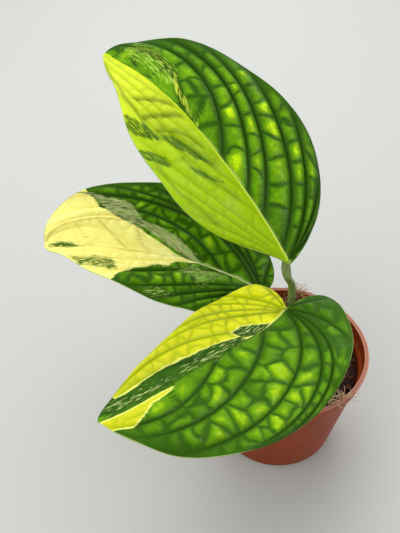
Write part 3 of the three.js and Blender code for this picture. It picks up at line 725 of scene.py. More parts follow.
def blade_material(name, leaf, tones, streaks_follow):
    """A leathery aroid leaf: a waxy satin skin that catches soft light on each bulge, dark
    sunken veins, lime where the tissue stands proud, partly its own colour and partly painted
    light, with painted shade in the hollows and off the ridges, and cream or yellow tissue without
    chlorophyll that breaks into green in fine streaks along the veins."""
    made, tree, shader = blank_material(name)
    colour = {key: rgba(value) for key, value in tones.items()}
    read = {key: add(tree, "attribute", attribute_name=key) for key in BLADE_ATTRIBUTES}
    flat = add(tree, "map", uv_map="flat")
    along = add(tree, "map", uv_map="surface")

    # Streaks are 1.2 mm wide and 9 mm long, threads 0.6 mm wide and 6 mm long, mottling is
    # 3.3 mm across and the finest net 2.4 mm.
    streaks = add(tree, "noise", add(tree, "stretch", along, (0.85, 0.11, 1.0)), 1.0, 5.0, 0.62)
    narrow = (0.16, 1.7, 1.0) if streaks_follow == "flat" else (1.5, 0.18, 1.0)
    run = add(tree, "stretch", add(tree, "map", uv_map=streaks_follow), narrow)
    threads = add(tree, "noise", run, 1.0, 4.0, 0.6)
    mottle = add(tree, "noise", flat, 0.3, 4.0, 0.55)
    netted = add(tree, "range", add(tree, "net", flat, 0.42), 0.0, 0.14, 1.0, 0.0)
    ragged = add(tree, "subtract", streaks, 0.5)

    # Green tissue: from painted shade in the hollows to lime as it swells, the lime partly its own
    # colour and partly painted light, then darker where it is deep and on its veins
    mottled = add(tree, "soft range", mottle, 0.25, 0.75, 0.7, 1.2)
    swell = add(tree, "multiply", read["bulge_lime_and_shade"], mottled)
    deep_edge = add(tree, "add", read["deep"], add(tree, "multiply", ragged, 5.0))
    green = add(tree, "blend", add(tree, "soft range", swell, 0.0, 0.4, 0.0, 1.0),
                colour["hollow"], colour["green"])
    for share, over in (
            (add(tree, "soft range", swell, 0.35, 1.0, 0.0, 1.0), "lime"),
            (add(tree, "soft range", deep_edge, -0.5, 1.0, 0.0, 0.8), "streak"),
            (add(tree, "multiply", read["cross"], leaf["crisp"] / 2), "hollow"),
            (add(tree, "multiply", read["vein"], 0.9), "vein"),
            (add(tree, "multiply", netted, 0.15), "vein")):
        green = add(tree, "blend", share, green, colour[over])

    # Pale tissue: from the petiole's colour to the tip's, with painted shade off its ridges, and
    # deeper on veins
    turning = add(tree, "soft range", read["tip"], *leaf["turns"], 0.0, 1.0)
    light = add(tree, "blend", turning, colour["pale_base"], colour["pale"])
    mottled = add(tree, "soft range", mottle, 0.25, 0.75, 0.75, 1.2)
    ridge_shading = add(tree, "multiply", read["crest_shading"], mottled)
    ridge_shading = add(tree, "soft range", ridge_shading, 0.05, 0.75, 1 - leaf["ridges"], 1.0)
    pale = add(tree, "blend", ridge_shading, colour["pale_shade"], light)
    # Veins, cross veins and the net are the tissue's own lines; along the creases the same dark
    # colour is mostly painted shade.
    for line, strength in ((read["cross"], 0.1 + leaf["pale_lines"] / 2),
                           (read["vein"], leaf["pale_lines"]),
                           (netted, 0.12), (read["crease_shade_and_line"], 0.8)):
        pale = add(tree, "blend", add(tree, "multiply", line, strength), pale,
                   colour["pale_vein_and_crease_shade"])

    # A sector's edge wanders with the streaks, by the amount that its attribute allows.
    edge = add(tree, "add", read["pale"], add(tree, "multiply", ragged, read["wander"]))
    pale = add(tree, "blend", add(tree, "soft range", edge, 1.1, 0.2, 0.0, 0.8), pale,
               colour["pale_edge"])
    greyed = add(tree, "blend", add(tree, "soft range", threads, 0.4, 0.62, 0.0, 1.0),
                 colour["grey"], green)
    streaked = add(tree, "blend", add(tree, "soft range", threads, 0.48, 0.62, 0.0, 1.0),
                   colour["streak"], pale)
    grey_edge = add(tree, "add", read["grey"], add(tree, "multiply", ragged, 5.0))
    dark_edge = add(tree, "add", read["dark"], add(tree, "multiply", ragged, 8.0))
    thread = add(tree, "subtract", threads, leaf["fleck_from"])
    fleck_edge = add(tree, "add", add(tree, "minimum", read["fleck"], 2.5),
                     add(tree, "multiply", thread, 28.0))
    rim = add(tree, "soft range", read["rim"], 0.2, 0.9, 0.0, 1.0)
    tissue = green
    for share, over in (
            (add(tree, "soft range", edge, -0.25, 0.25, 0.0, 1.0), pale),
            (add(tree, "soft range", grey_edge, -0.4, 0.4, 0.0, 1.0), greyed),
            (add(tree, "soft range", dark_edge, -0.6, 0.8, 0.0, 1.0), streaked),
            (add(tree, "soft range", fleck_edge, 0.0, 2.0, 0.0, 0.8), colour["fleck"]),
            (add(tree, "multiply", read["rib"], 0.9), colour["midrib"]),
            (add(tree, "multiply", rim, 0.6), colour["fleck"])):
        tissue = add(tree, "blend", share, tissue, over)
    beneath = add(tree, "blend", 0.6, tissue, colour["under"])

    rough = add(tree, "range", mottle, 0.0, 1.0, 0.24, 0.36)
    relief = add(tree, "add", add(tree, "multiply", netted, -0.5), mottle)
    set_inputs(tree, shader, {
        "Base Color": add(tree, "blend", read["under"], tissue, beneath),
        "Roughness": add(tree, "number blend", read["under"], rough, 0.55),
        "Normal": add(tree, "bump", relief, 0.35, 0.0003),
        "IOR": 1.46,
        "Specular IOR Level": 0.14,
        "Specular Tint": (0.9, 1.0, 0.7, 1.0),
    })
    return made


# Blades

BLADE_ATTRIBUTES = ("pale", "grey", "deep", "dark", "fleck", "wander", "vein", "cross",
                    "bulge_lime_and_shade", "crest_shading", "crease_shade_and_line", "rib", "rim", "tip", "under")


def midrib_of(leaf):
    """The midrib's points and its along, left and up directions. The heading turns with the
    share s of the length as bearing + turn s + growth s^2 plus one sine swing, the slope falls
    as rise - droop s - growth s^2, and the blade rolls about it by roll + twist s."""
    s = np.linspace(0, 1, MIDRIB_SAMPLES + 1)
    slope = np.radians(leaf["rise"] - leaf["droop"] * s - leaf["droop_growth"] * s * s)
    swing = np.sin(2 * np.pi * (s - leaf["swing_start"]) / leaf["swing_span"])
    heading = np.radians(leaf["bearing"] + leaf["turn"] * s + leaf["turn_growth"] * s * s
                         + leaf["swing"] * swing)
    level_out = [np.cos(slope) * np.cos(heading), np.cos(slope) * np.sin(heading), np.sin(slope)]
    along = np.stack(level_out, 1)
    steps = (along[1:] + along[:-1]) / 2 * leaf["length"] / MIDRIB_SAMPLES
    points = np.array(leaf["base"], float) + np.vstack([np.zeros(3), np.cumsum(steps, axis=0)])
    level = np.stack([-np.sin(heading), np.cos(heading), np.zeros_like(s)], 1)
    top = np.cross(along, level)
    roll = np.radians(leaf["roll"] + leaf["twist"] * s)[:, None]
    left = np.cos(roll) * level + np.sin(roll) * top
    up = np.cos(roll) * top - np.sin(roll) * level
    return {"s": s, "point": points, "along": along, "left": left, "up": up}


def midrib_at(midrib, s, key):
    """The midrib's point or direction at a share s of its length, straight between samples."""
    place = np.clip(s, 0, 1)
    return np.stack([np.interp(place, midrib["s"], midrib[key][:, i]) for i in range(3)], -1)


def flat_points(leaf, half, root, t, v):
    """Where the vein that leaves the midrib at root and ends at outline place t is, a share v
    of the way to the margin: a quadratic Bezier that arches over towards the tip."""
    lobe = [(-leaf["cleft"], 0), (-leaf["cleft"] - half["lobe_back"], half["lobe_out"]),
            (half["widest"] - half["shoulder"], half["width"]), (half["widest"], half["width"])]
    flank = [(half["widest"], half["width"]), (half["widest"] + half["taper"], half["width"]),
             (leaf["length"] - half["tip_length"], half["tip_width"]), (leaf["length"], 0)]
    end = np.where((t < OUTLINE_SPLIT)[..., None],
                   bezier(lobe, np.minimum(t / OUTLINE_SPLIT, 1)),
                   bezier(flank, np.clip((t - OUTLINE_SPLIT) / (1 - OUTLINE_SPLIT), 0, 1)))
    start = np.stack([root, 0 * root], -1)
    bow = half["arch"] + half["arch_growth"] * (t - 0.5)
    bow = (bow * (1 - np.exp(-(t / ARCH_REACH) ** 2)))[..., None]
    span = end - start
    middle = (start + end) / 2 + bow * np.stack([-span[..., 1], span[..., 0]], -1)
    v = v[..., None]
    return (1 - v) ** 2 * start + 2 * v * (1 - v) * middle + v * v * end


def space_points(leaf, midrib, half, side, flat, lift):
    """A flat point in space: each half folds up from the midrib by its fold angle and curls
    back down at a steady rate, and lift is measured square to its surface."""
    reach = np.abs(flat[..., 1])
    fold = math.radians(half["fold"])
    bend = math.radians(half["curl"]) / (0.3 * leaf["length"])
    tilt = fold - bend * reach
    out = (math.sin(fold) - np.sin(tilt)) / bend
    rise = (np.cos(tilt) - math.cos(fold)) / bend
    s = flat[..., 0] / leaf["length"]
    place = midrib_at(midrib, s, "point")
    place = place + midrib["along"][0] * np.minimum(flat[..., 0], 0)[..., None]
    sideways = side * (out - lift * np.sin(tilt))
    place = place + midrib_at(midrib, s, "left") * sideways[..., None]
    return place + midrib_at(midrib, s, "up") * (rise + lift * np.cos(tilt))[..., None]


def quilt_centres(leaf, half, side, pairs, seed):
    """Where the cells between the veins are centred, on the flat half: one row down each gap
    between two veins, and two staggered rows where it is wide, each moved a little at random,
    and the nearest one moved to each of the leaf's limest and most brightly painted places. Each
    row gives the gap, x, y and a random number of the cell's own."""
    rng = np.random.default_rng(seed)
    v = np.linspace(0.02, 0.97, 60)
    found = []
    for gap in range(len(pairs) - 1):
        lines = []
        for share in (0, 0.28, 0.5, 0.72, 1):
            root, t = pairs[gap] * (1 - share) + pairs[gap + 1] * share
            lines.append(flat_points(leaf, half, 0 * v + root * leaf["length"], 0 * v + t, v))
        width = np.linalg.norm(lines[4] - lines[0], axis=1)
        walked = np.append(0, np.cumsum(np.linalg.norm(np.diff(lines[2], axis=0), axis=1)))
        count = max(2, round(walked[-1] / leaf["cell"]))
        for place in (np.arange(count) + 0.5) * walked[-1] / count:
            wide = np.interp(place, walked, width) > leaf["double"]
            for line, step in ((1, -0.25), (3, 0.25)) if wide else ((2, 0),):
                along = place + (step + rng.uniform(-0.2, 0.2)) * leaf["cell"]
                x, y = (np.interp(along, walked, lines[line][:, i]) for i in (0, 1))
                found.append((gap, x, y, rng.uniform()))
    found = np.array(found)
    for x, y, _, strength in leaf["glows"]:
        if strength > 0 and side * y > 0:
            place = np.array([x, abs(y)]) * leaf["length"]
            nearest = np.argmin(np.linalg.norm(found[:, 1:3] - place, axis=1))
            found[nearest, 1:3] = place
    return found


def quilted(x, y, gap, centres, seed):
    """How far each place is from the border of the cell that it is in, and that cell's own
    number: half the difference of the squared distances to the two nearest centres, over the
    distance between those, after a small wander so that the borders wave."""
    wavy_x = x + CELL_WANDER * lattice_noise(x + 200, y + 200, 5.5, seed)
    wavy_y = y + CELL_WANDER * lattice_noise(x + 200, y + 200, 5.5, seed + 1)
    border, own = np.zeros(x.shape), np.zeros(x.shape)
    for number in np.unique(gap):
        here = gap == number
        cells = centres[centres[:, 0] == number]
        away = np.hypot(wavy_x[here][:, None] - cells[:, 1], wavy_y[here][:, None] - cells[:, 2])
        order = np.argsort(away, axis=1)[:, :2]
        near, second = np.take_along_axis(away, order, axis=1).T
        apart = np.hypot(*(cells[order[:, 1], 1:3] - cells[order[:, 0], 1:3]).T)
        border[here] = (second ** 2 - near ** 2) / (2 * apart)
        own[here] = cells[order[:, 0], 3]
    return border, own


def half_blade(leaf, midrib, side_name, settings, seed):
    """One half on a grid of vein number c by share v of the way to the margin: its flat points,
    its points in space and the values that its colours are mixed from. Columns crowd towards
    each vein as c less a share of sin(2 pi c) does, and rows towards the midrib by a power."""
    half, side = leaf[side_name], 1 if side_name == "left" else -1
    length = leaf["length"]
    pairs = np.array([(0, 0, 0), *leaf["veins"], (1, 1, 1)], float)
    pairs = pairs[:, [0, 1 if side > 0 else 2]]
    gaps = len(pairs) - 1
    c = np.linspace(0, gaps, gaps * settings.columns_per_gap + 1)
    c = (c - VEIN_CROWDING * np.sin(2 * np.pi * c))[:, None] + np.zeros((1, settings.rows + 1))
    v = np.linspace(0, 1, settings.rows + 1)[None, :] ** MIDRIB_CROWDING + np.zeros_like(c)
    number = np.arange(gaps + 1)
    root = length * np.interp(c, number, pairs[:, 0])
    t = np.interp(c, number, pairs[:, 1])
    flat = flat_points(leaf, half, root, t, v)
    x, y = flat[..., 0], flat[..., 1]
    signed = side * y

    # Distance to the nearest vein, from how fast the grid spreads sideways with c
    spread = np.gradient(flat, axis=0) / np.gradient(c, axis=0)[..., None]
    onward = np.gradient(flat, axis=1)
    onward /= np.maximum(np.linalg.norm(onward, axis=-1, keepdims=True), 1e-9)
    sideways = np.abs(spread[..., 0] * onward[..., 1] - spread[..., 1] * onward[..., 0])
    vein = np.round(c)
    nearest = np.abs(c - vein) * sideways
    is_vein = (vein > 0) & (vein < gaps)
    gap = np.clip(np.floor(c), 0, gaps - 1).astype(int)
    within = c - gap

    # Puckers between the veins, as in the solid, and the cells that cross veins quilt them into
    ends = ramp(t, 0, 0.12) * ramp(1 - t, 0, 0.12)
    arch = np.maximum(0, np.sin(np.pi * within)) ** PUCKER_SHARPNESS
    across = np.minimum(1, v / 0.22) * (1 - v ** 7)
    border, own = quilted(x, y, gap, quilt_centres(leaf, half, side, pairs, seed), seed + 2)
    inner = np.minimum(border, np.where(is_vein, nearest, NO_VEIN))
    dome = 1 - np.exp(-(inner / CELL_DOME) ** 1.4)
    # glow paints cells lime, partly their own colour and partly painted light, with painted sheen
    # and shade at listed places; it also swells them.
    glow = np.full(t.shape, float(leaf["glow"]))
    for place_x, place_y, spot, strength in leaf["glows"]:
        away = np.hypot(x - place_x * length, signed - place_y * length)
        glow = glow + strength * bell(away, spot)
    glow = np.clip(glow, 0, 1.2)
    # Creases dent the surface and are also painted darker along it, mostly as painted shade.
    crease_shade_and_line, dent = np.zeros(t.shape), np.zeros(t.shape)
    for width, strength, line in leaf["creases"]:
        away = line_distance(x, signed, np.array(line) * length)
        crease_shade_and_line = np.maximum(crease_shade_and_line, strength * bell(away, width))
        dent = np.maximum(dent, CREASE_STEEPNESS * width * strength * bell(away, width))
    wave = v ** 3 * np.sin(2 * np.pi * MARGIN_WAVES * t + leaf["wave_phase"])
    pucker = settings.pucker / MM * half["puckered"] * arch * across
    quilting = LEAST_QUILTING + leaf["crisp"]
    pucker = pucker * (1 - quilting * (1 - dome)) * (0.85 + 0.3 * own)
    hollow = bell(nearest, GROOVE_REACH) * is_vein * ramp(v, 0, 0.03) * (1 - v ** 4)
    ripple = lattice_noise(x, signed + 300, RIPPLE_CELL, seed + 3) * arch * across
    lift = ends * (pucker + leaf["margin_wave"] * wave + GLOW_SWELL * glow * dome
                   + RIPPLE_HEIGHT * ripple
                   - settings.vein_groove / MM * half["puckered"] * hollow - dent)
    rib_height = RIB_HEIGHT * bell(y, RIB_REACH) * ramp(1 - x / length, 0.0, 0.6)
    trough = RIB_TROUGH * bell(np.abs(y) - RIB_TROUGH_PLACE, RIB_TROUGH_REACH)
    lift = lift + rib_height - trough * ramp(length - x, 4, 20)

    values = {}
    for name, outlines in leaf["sectors"].items():
        inside = [signed_distance(x, signed, np.array(outline) * length) for outline in outlines]
        values[name] = np.max([np.full(t.shape, -50.0), *inside], axis=0)
    values["pale"] = np.minimum(values["pale"], -values.pop("green"))
    reach = np.linalg.norm(np.diff(flat, axis=1), axis=-1).sum(1)[:, None]
    values["wander"] = 1.0 + leaf["wander"] * (1 - bell(y, 3.5))
    edge_fade = 1 - 0.8 * ramp(v, 0.75, 0.98)
    values["vein"] = bell(nearest, VEIN_REACH) * is_vein * ramp(v, 0.0, 0.05) * edge_fade
    values["cross"] = bell(border, CROSS_VEIN_REACH) * arch ** 0.5 * ramp(v, 0.04, 0.15) * edge_fade

    # Shade runs in from the veins, and less far in from the cells' borders if they are soft.
    crisp = leaf["crisp"]
    narrowing = 1.9 - 1.8 * crisp
    valley = np.minimum(border * narrowing, np.where(is_vein, nearest, NO_VEIN))
    sharp = np.exp(-(valley / CELL_EDGE) ** 1.5)
    soft = 1 - crisp * sharp - (1 - crisp) * bell(valley, CELL_SHADE)
    # Lime on the swelling cells, partly their own colour and partly painted light, falling to
    # painted shade towards veins and borders.
    values["bulge_lime_and_shade"] = np.clip(soft * (glow + 0.35 * (own - 0.5)) * (1 - v ** 8), 0, 1)
    # Painted light on the crests and painted shade off them, for the pale tissue.
    values["crest_shading"] = arch * (0.35 + 0.65 * soft)
    values["crease_shade_and_line"] = crease_shade_and_line
    shown = ramp(leaf["midrib_shows"] * length - x, 0, 0.3 * length)
    values["rib"] = bell(y, leaf["midrib_line"] * (0.25 + 0.3 * (1 - x / length))) * shown
    values["rim"] = bell((1 - v) * reach, RIM_REACH)
    values["tip"] = x / length
    along_vein = np.stack([side * (c + 2) * length / gaps, v * reach], -1)
    return {"flat": np.stack([x, signed], -1), "along_vein": along_vein, "values": values,
            "points": space_points(leaf, midrib, half, side, flat, lift)}


def blade_mesh(name, leaf, settings, seed):
    """Both halves as one sheet: the middle surface, its points merged where they share a flat
    place and its squares split along their shorter diagonal, moved half a thickness each way
    along its normals, thinner at the margin, with a keel under the midrib and a narrow wall
    along the free edge, whose middle is drawn in a little."""
    midrib = midrib_of(leaf)
    halves = [half_blade(leaf, midrib, side, settings, seed + i)
              for i, side in enumerate(("left", "right"))]
    columns, rows = halves[0]["flat"].shape[:2]
    flat = np.vstack([h["flat"].reshape(-1, 2) for h in halves])
    points = np.vstack([h["points"].reshape(-1, 3) for h in halves])
    values = {key: np.concatenate([h["values"][key].ravel() for h in halves])
              for key in halves[0]["values"]}
    uv = np.vstack([h["along_vein"].reshape(-1, 2) for h in halves])
    _, first, merged = np.unique(np.round(flat * MERGES_PER_MM).astype(int), axis=0,
                                 return_index=True, return_inverse=True)
    merged = merged.ravel()

    i, j = np.meshgrid(np.arange(columns - 1), np.arange(rows - 1), indexing="ij")
    a = (i * rows + j).ravel()
    quads = np.stack([a, a + rows, a + rows + 1, a + 1], 1)
    quads = np.vstack([quads, quads[:, ::-1] + columns * rows])
    one, other = (np.linalg.norm(flat[quads[:, k]] - flat[quads[:, k + 2]], axis=1)
                  for k in (0, 1))
    quads = np.where((one > other)[:, None], np.roll(quads, -1, axis=1), quads)
    grid = np.vstack([quads[:, :3], quads[:, [0, 2, 3]]])
    corners = merged[grid]
    whole = ((corners[:, 0] != corners[:, 1]) & (corners[:, 1] != corners[:, 2])
             & (corners[:, 2] != corners[:, 0]))
    grid, corners = grid[whole], corners[whole]
    middle = points[first]
    square = np.cross(middle[corners[:, 1]] - middle[corners[:, 0]],
                      middle[corners[:, 2]] - middle[corners[:, 0]])
    normals = np.zeros_like(middle)
    for k in range(3):
        np.add.at(normals, corners[:, k], square)
    normals /= np.linalg.norm(normals, axis=1)[:, None]

    x, y = flat[first].T
    length = leaf["length"]
    rim = values["rim"][first]
    half_thick = settings.thickness / MM / 2 * (1 - RIM_THINNING * rim)
    depth = ramp(1 - 0.75 * x / length, 0, 1) * ramp(1 + x / 4, 0, 1)
    keel = MIDRIB_KEEL * depth * bell(y, MIDRIB_KEEL_REACH)
    count = len(middle)
    top = middle + normals * half_thick[:, None]
    bottom = middle - normals * (half_thick + keel)[:, None]

    # The free edge runs out along the left margin and back along the right one. Its wall is
    # wound the other way from the two faces.
    left_rim = np.arange(columns) * rows + rows - 1
    loop_grid = np.concatenate([left_rim, (columns * rows + left_rim)[::-1][1:-1]])
    loop = merged[loop_grid]
    ahead = np.roll(middle[loop], -1, axis=0) - np.roll(middle[loop], 1, axis=0)
    inward = np.cross(ahead, normals[loop])
    inward /= np.linalg.norm(inward, axis=1)[:, None]
    lip = middle[loop] + inward * RIM_HOLLOW
    n = len(loop)
    after = (np.arange(n) + 1) % n
    edge = 2 * count + np.arange(n)
    upper = np.stack([loop, edge, edge[after], loop[after]], 1)
    lower = np.stack([edge, loop + count, loop[after] + count, edge[after]], 1)
    faces = corners.tolist() + (corners[:, ::-1] + count).tolist()
    faces += upper.tolist() + lower.tolist()
    wall = np.stack([loop_grid, loop_grid, loop_grid[after], loop_grid[after]], 1).ravel()
    order = np.concatenate([grid.ravel(), grid[:, ::-1].ravel(), wall, wall])
    maps = {"surface": uv[order], "flat": flat[order]}

    layers = {key: np.concatenate([all_of[first], all_of[first], all_of[first][loop]])
              for key, all_of in values.items()}
    layers["rim"][2 * count:] = 1
    layers["under"] = np.concatenate([np.zeros(count), np.ones(count), np.full(n, 0.5)])
    return add_mesh(name, np.vstack([top, bottom, lip]), faces, layers, maps)


# Pot, mix, stem and petioles

def rounded(corners, steps=5):
    """A profile with an arc at each inner corner: the quadratic Bezier between the points a
    radius before and after it."""
    out = [corners[0][:2]]
    for (ax, ay, _), (bx, by, radius), (cx, cy, _) in zip(corners, corners[1:], corners[2:]):
        before, corner, after = np.array([ax, ay]), np.array([bx, by]), np.array([cx, cy])
        back, on = before - corner, after - corner
        start = corner + back / np.linalg.norm(back) * radius
        end = corner + on / np.linalg.norm(on) * radius
        for u in np.linspace(0, 1, steps):
            out.append(tuple((1 - u) ** 2 * start + 2 * u * (1 - u) * corner + u * u * end))
    out.append(corners[-1][:2])
    return np.array(out)


def turned(name, profile, sides, centre=(0, 0)):
    """A profile of radius and height, from the axis round to the axis, turned about the
    upright axis through centre."""
    radius, height = profile[1:-1].T
    angle = 2 * np.pi * np.arange(sides) / sides
    rings = np.stack([radius[:, None] * np.cos(angle), radius[:, None] * np.sin(angle),
                      height[:, None] + 0 * angle], -1)
    points = np.vstack([rings.reshape(-1, 3), [(0, 0, profile[0, 1])], [(0, 0, profile[-1, 1])]])
    return add_mesh(name, points + (*centre, 0), ring_faces(len(radius), sides))


def apply_modifiers(piece):
    """Makes the mesh what its modifiers show, and removes them."""
    depsgraph = bpy.context.evaluated_depsgraph_get()
    shown = bpy.data.meshes.new_from_object(piece.evaluated_get(depsgraph))
    piece.modifiers.clear()
    old, piece.data = piece.data, shown
    bpy.data.meshes.remove(old)


def soil_height(x, y):
    """The top of the mix: a low crown and three sizes of crossed waves, as in the solid."""
    coarse = np.sin(0.21 * x + 0.13 * y + 0.7) * np.cos(0.17 * y - 0.09 * x + 1.9)
    medium = np.sin(0.47 * x - 0.31 * y + 2.1) * np.cos(0.43 * y + 0.29 * x)
    fine = np.sin(0.93 * x + 0.57 * y) * np.sin(0.88 * y - 0.61 * x + 0.5)
    crown = SOIL_CROWN * (1 - (x * x + y * y) / RIM_RADIUS ** 2)
    return SOIL_LEVEL + crown + SOIL_LUMP * (0.4 * coarse + 0.35 * medium + 0.3 * fine)


def inner_radius(height):
    """The pot wall's inner radius below the collar."""
    top = RIM_RADIUS - COLLAR_DRAFT - COLLAR_STEP
    foot = POT_HEIGHT - COLLAR_HEIGHT
    share = (height - BASE_CHAMFER) / (foot - BASE_CHAMFER)
    return BASE_RADIUS + share * (top - BASE_RADIUS) - WALL


def crumb_mesh(name, places, sizes, flats, tones, rng):
    """Many crumbs in one mesh: each is an octahedron split once, pushed in and out at each
    corner by its own random share, squashed, turned at random and set down at its place."""
    corners = np.array([(1, 0, 0), (-1, 0, 0), (0, 1, 0), (0, -1, 0), (0, 0, 1), (0, 0, -1)],
                       float)
    sides = [(0, 2, 4), (2, 1, 4), (1, 3, 4), (3, 0, 4), (2, 0, 5), (1, 2, 5), (3, 1, 5),
             (0, 3, 5)]
    points, index, faces = list(corners), {}, []

    def halfway(a, b):
        """The corner between two others, pushed out to the unit sphere and made only once."""
        key = (min(a, b), max(a, b))
        if key not in index:
            index[key] = len(points)
            middle = points[a] + points[b]
            points.append(middle / np.linalg.norm(middle))
        return index[key]

    for a, b, c in sides:
        ab, bc, ca = halfway(a, b), halfway(b, c), halfway(c, a)
        faces += [(a, ab, ca), (ab, b, bc), (ca, bc, c), (ab, bc, ca)]
    shape, faces = np.array(points), np.array(faces)
    many = len(places)
    rough = rng.uniform(0.62, 1.15, (many, len(shape), 1))
    bodies = shape[None] * rough * np.stack([np.ones(many), rng.uniform(0.5, 0.9, many), flats],
                                            1)[:, None]
    turn = rng.uniform(0, 2 * np.pi, many)
    lean = rng.uniform(-0.5, 0.5, many)
    x, y, z = np.moveaxis(bodies, -1, 0)
    x, z = (x * np.cos(lean)[:, None] - z * np.sin(lean)[:, None],
            x * np.sin(lean)[:, None] + z * np.cos(lean)[:, None])
    x, y = (x * np.cos(turn)[:, None] - y * np.sin(turn)[:, None],
            x * np.sin(turn)[:, None] + y * np.cos(turn)[:, None])
    placed = np.stack([x, y, z], -1) * sizes[:, None, None] + places[:, None]
    all_faces = (faces[None] + (np.arange(many) * len(shape))[:, None, None]).reshape(-1, 3)
    return add_mesh(name, placed.reshape(-1, 3), all_faces.tolist(),
                    {"tone": np.repeat(tones, len(shape))}, smooth=False)


def clear_of_stem(x, y):
    """Whether a place on the mix is outside the stem."""
    return np.hypot(x - STEM_ROUTE[1][0], y - STEM_ROUTE[1][1]) > STEM_RADIUS + 1.5


class MONSTERA_OT_pot(bpy.types.Operator):
    """Turns the nursery pot with its stepped collar and grooved lip, and drills its base"""
    bl_idname = "monstera.pot"
    bl_label = "Nursery Pot"

    def execute(self, context):
        settings = context.scene.monstera_pot
        foot = POT_HEIGHT - COLLAR_HEIGHT
        collar = RIM_RADIUS - COLLAR_DRAFT
        top = collar - COLLAR_STEP
        inner_lip = RIM_RADIUS - LIP_WIDTH
        groove = RIM_RADIUS - LIP_WIDTH / 2
        profile = rounded([
            (0, 0, 0),
            (BASE_RADIUS - BASE_CHAMFER / 2, 0, 0.7),
            (BASE_RADIUS, BASE_CHAMFER, 0.7),
            (top, foot, 0.2),
            (collar, foot, 0.35),
            (RIM_RADIUS - 0.4, POT_HEIGHT - 1.9, 0.3),
            (RIM_RADIUS, POT_HEIGHT - 1.5, 0.25),
            (RIM_RADIUS, POT_HEIGHT, 0.45),
            (groove + 0.3, POT_HEIGHT, 0.15),
            (groove, POT_HEIGHT - LIP_GROOVE_DEPTH, 0.12),
            (groove - 0.3, POT_HEIGHT, 0.15),
            (inner_lip, POT_HEIGHT, 0.3),
            (collar - WALL, foot + 0.6, 0.4),
            (top - WALL, foot - 0.8, 0.4),
            (BASE_RADIUS - WALL, BASE_THICKNESS + 0.4, 0.5),
            (BASE_RADIUS - WALL - 0.8, BASE_THICKNESS, 0.3),
            (0, BASE_THICKNESS, 0),
        ])
        pot = turned("nursery_pot", profile, settings.sides)
        for i in range(DRAIN_HOLES):
            angle = 2 * math.pi * i / DRAIN_HOLES
            spot = (DRAIN_RING_RADIUS * math.cos(angle), DRAIN_RING_RADIUS * math.sin(angle))
            drill = turned("drill", np.array([
                (0, -1), (DRAIN_HOLE_RADIUS, -1), (DRAIN_HOLE_RADIUS, BASE_THICKNESS + 1),
                (0, BASE_THICKNESS + 1)]), 32, spot)
            cut = pot.modifiers.new("drain", "BOOLEAN")
            cut.object = drill
            cut.operation = "DIFFERENCE"
            cut.solver = "EXACT"
            apply_modifiers(pot)
            bpy.data.objects.remove(drill)
        dress(pot, "pot", pot_material(settings.wall_colour))
        return {"FINISHED"}


class MONSTERA_OT_mix(bpy.types.Operator):
    """Fills the pot with potting mix, and scatters crumbs and bark chips over it"""
    bl_idname = "monstera.mix"
    bl_label = "Potting Mix"

    def execute(self, context):
        settings = context.scene.monstera_mix
        rng = np.random.default_rng(SEED)
        sides, rings = 220, 96
        foot = BASE_THICKNESS + FIT_GAP
        edge = inner_radius(SOIL_LEVEL) - 2 * FIT_GAP
        angle = 2 * np.pi * np.arange(sides) / sides
        radius = edge * np.linspace(0, 1, rings + 1)[1:, None]
        x, y = radius * np.cos(angle), radius * np.sin(angle)
        height = soil_height(x, y)
        for cell, size, seed in ((5.5, 0.7, 3), (2.4, 0.55, 4), (1.1, 0.3, 5)):
            height = height + size * lattice_noise(x + 90, y + 90, cell, seed)
        settled = ramp(radius / edge, 0.94, 1.0)
        height = height * (1 - settled) + (SOIL_LEVEL - 0.9) * settled
        low = inner_radius(foot) - 2 * FIT_GAP - 0.8
        rim = np.stack([low * np.cos(angle), low * np.sin(angle), 0 * angle + foot], -1)
        points = np.vstack([[(0, 0, float(soil_height(0.0, 0.0)))],
                            np.stack([x, y, height], -1).reshape(-1, 3), rim,
                            [(0, 0, foot)]])
        k = np.arange(sides)
        after = (k + 1) % sides
        near = (1 + np.arange(rings) * sides)[:, None]
        quads = np.stack([near + k, near + sides + k, near + sides + after, near + after], -1)
        faces = np.stack([0 * k, 1 + k, 1 + after], 1).tolist() + quads.reshape(-1, 4).tolist()
        last = 1 + rings * sides
        faces += np.stack([0 * k + last + sides, last + after, last + k], 1).tolist()
        tone = np.full(len(points), 0.1)
        plug = add_mesh("potting_mix", points, faces, {"tone": tone})
        dress(plug, "soil", mix_material(
            "damp_peat", settings.peat_colour, linear("54281a"), 0.85))

        many = settings.crumbs
        reach = (edge - 1.5) * np.sqrt(rng.uniform(0, 1, many))
        turn = rng.uniform(0, 2 * np.pi, many)
        x, y = reach * np.cos(turn), reach * np.sin(turn)
        keep = clear_of_stem(x, y)
        x, y = x[keep], y[keep]
        sizes = np.clip(rng.lognormal(-0.1, 0.5, len(x)), 0.45, 3.2)
        places = np.stack([x, y, soil_height(x, y) + 0.35 * sizes], 1)
        tones = rng.uniform(0, 1, len(x)) ** 1.6
        crumbs = crumb_mesh("potting_mix_crumbs", places, sizes,
                            rng.uniform(0.35, 0.8, len(x)), tones, rng)
        dress(crumbs, None, mix_material(
            "peat_crumbs_and_bark", linear("1c0b06"), linear("7a3e24"), 0.7))
        return {"FINISHED"}


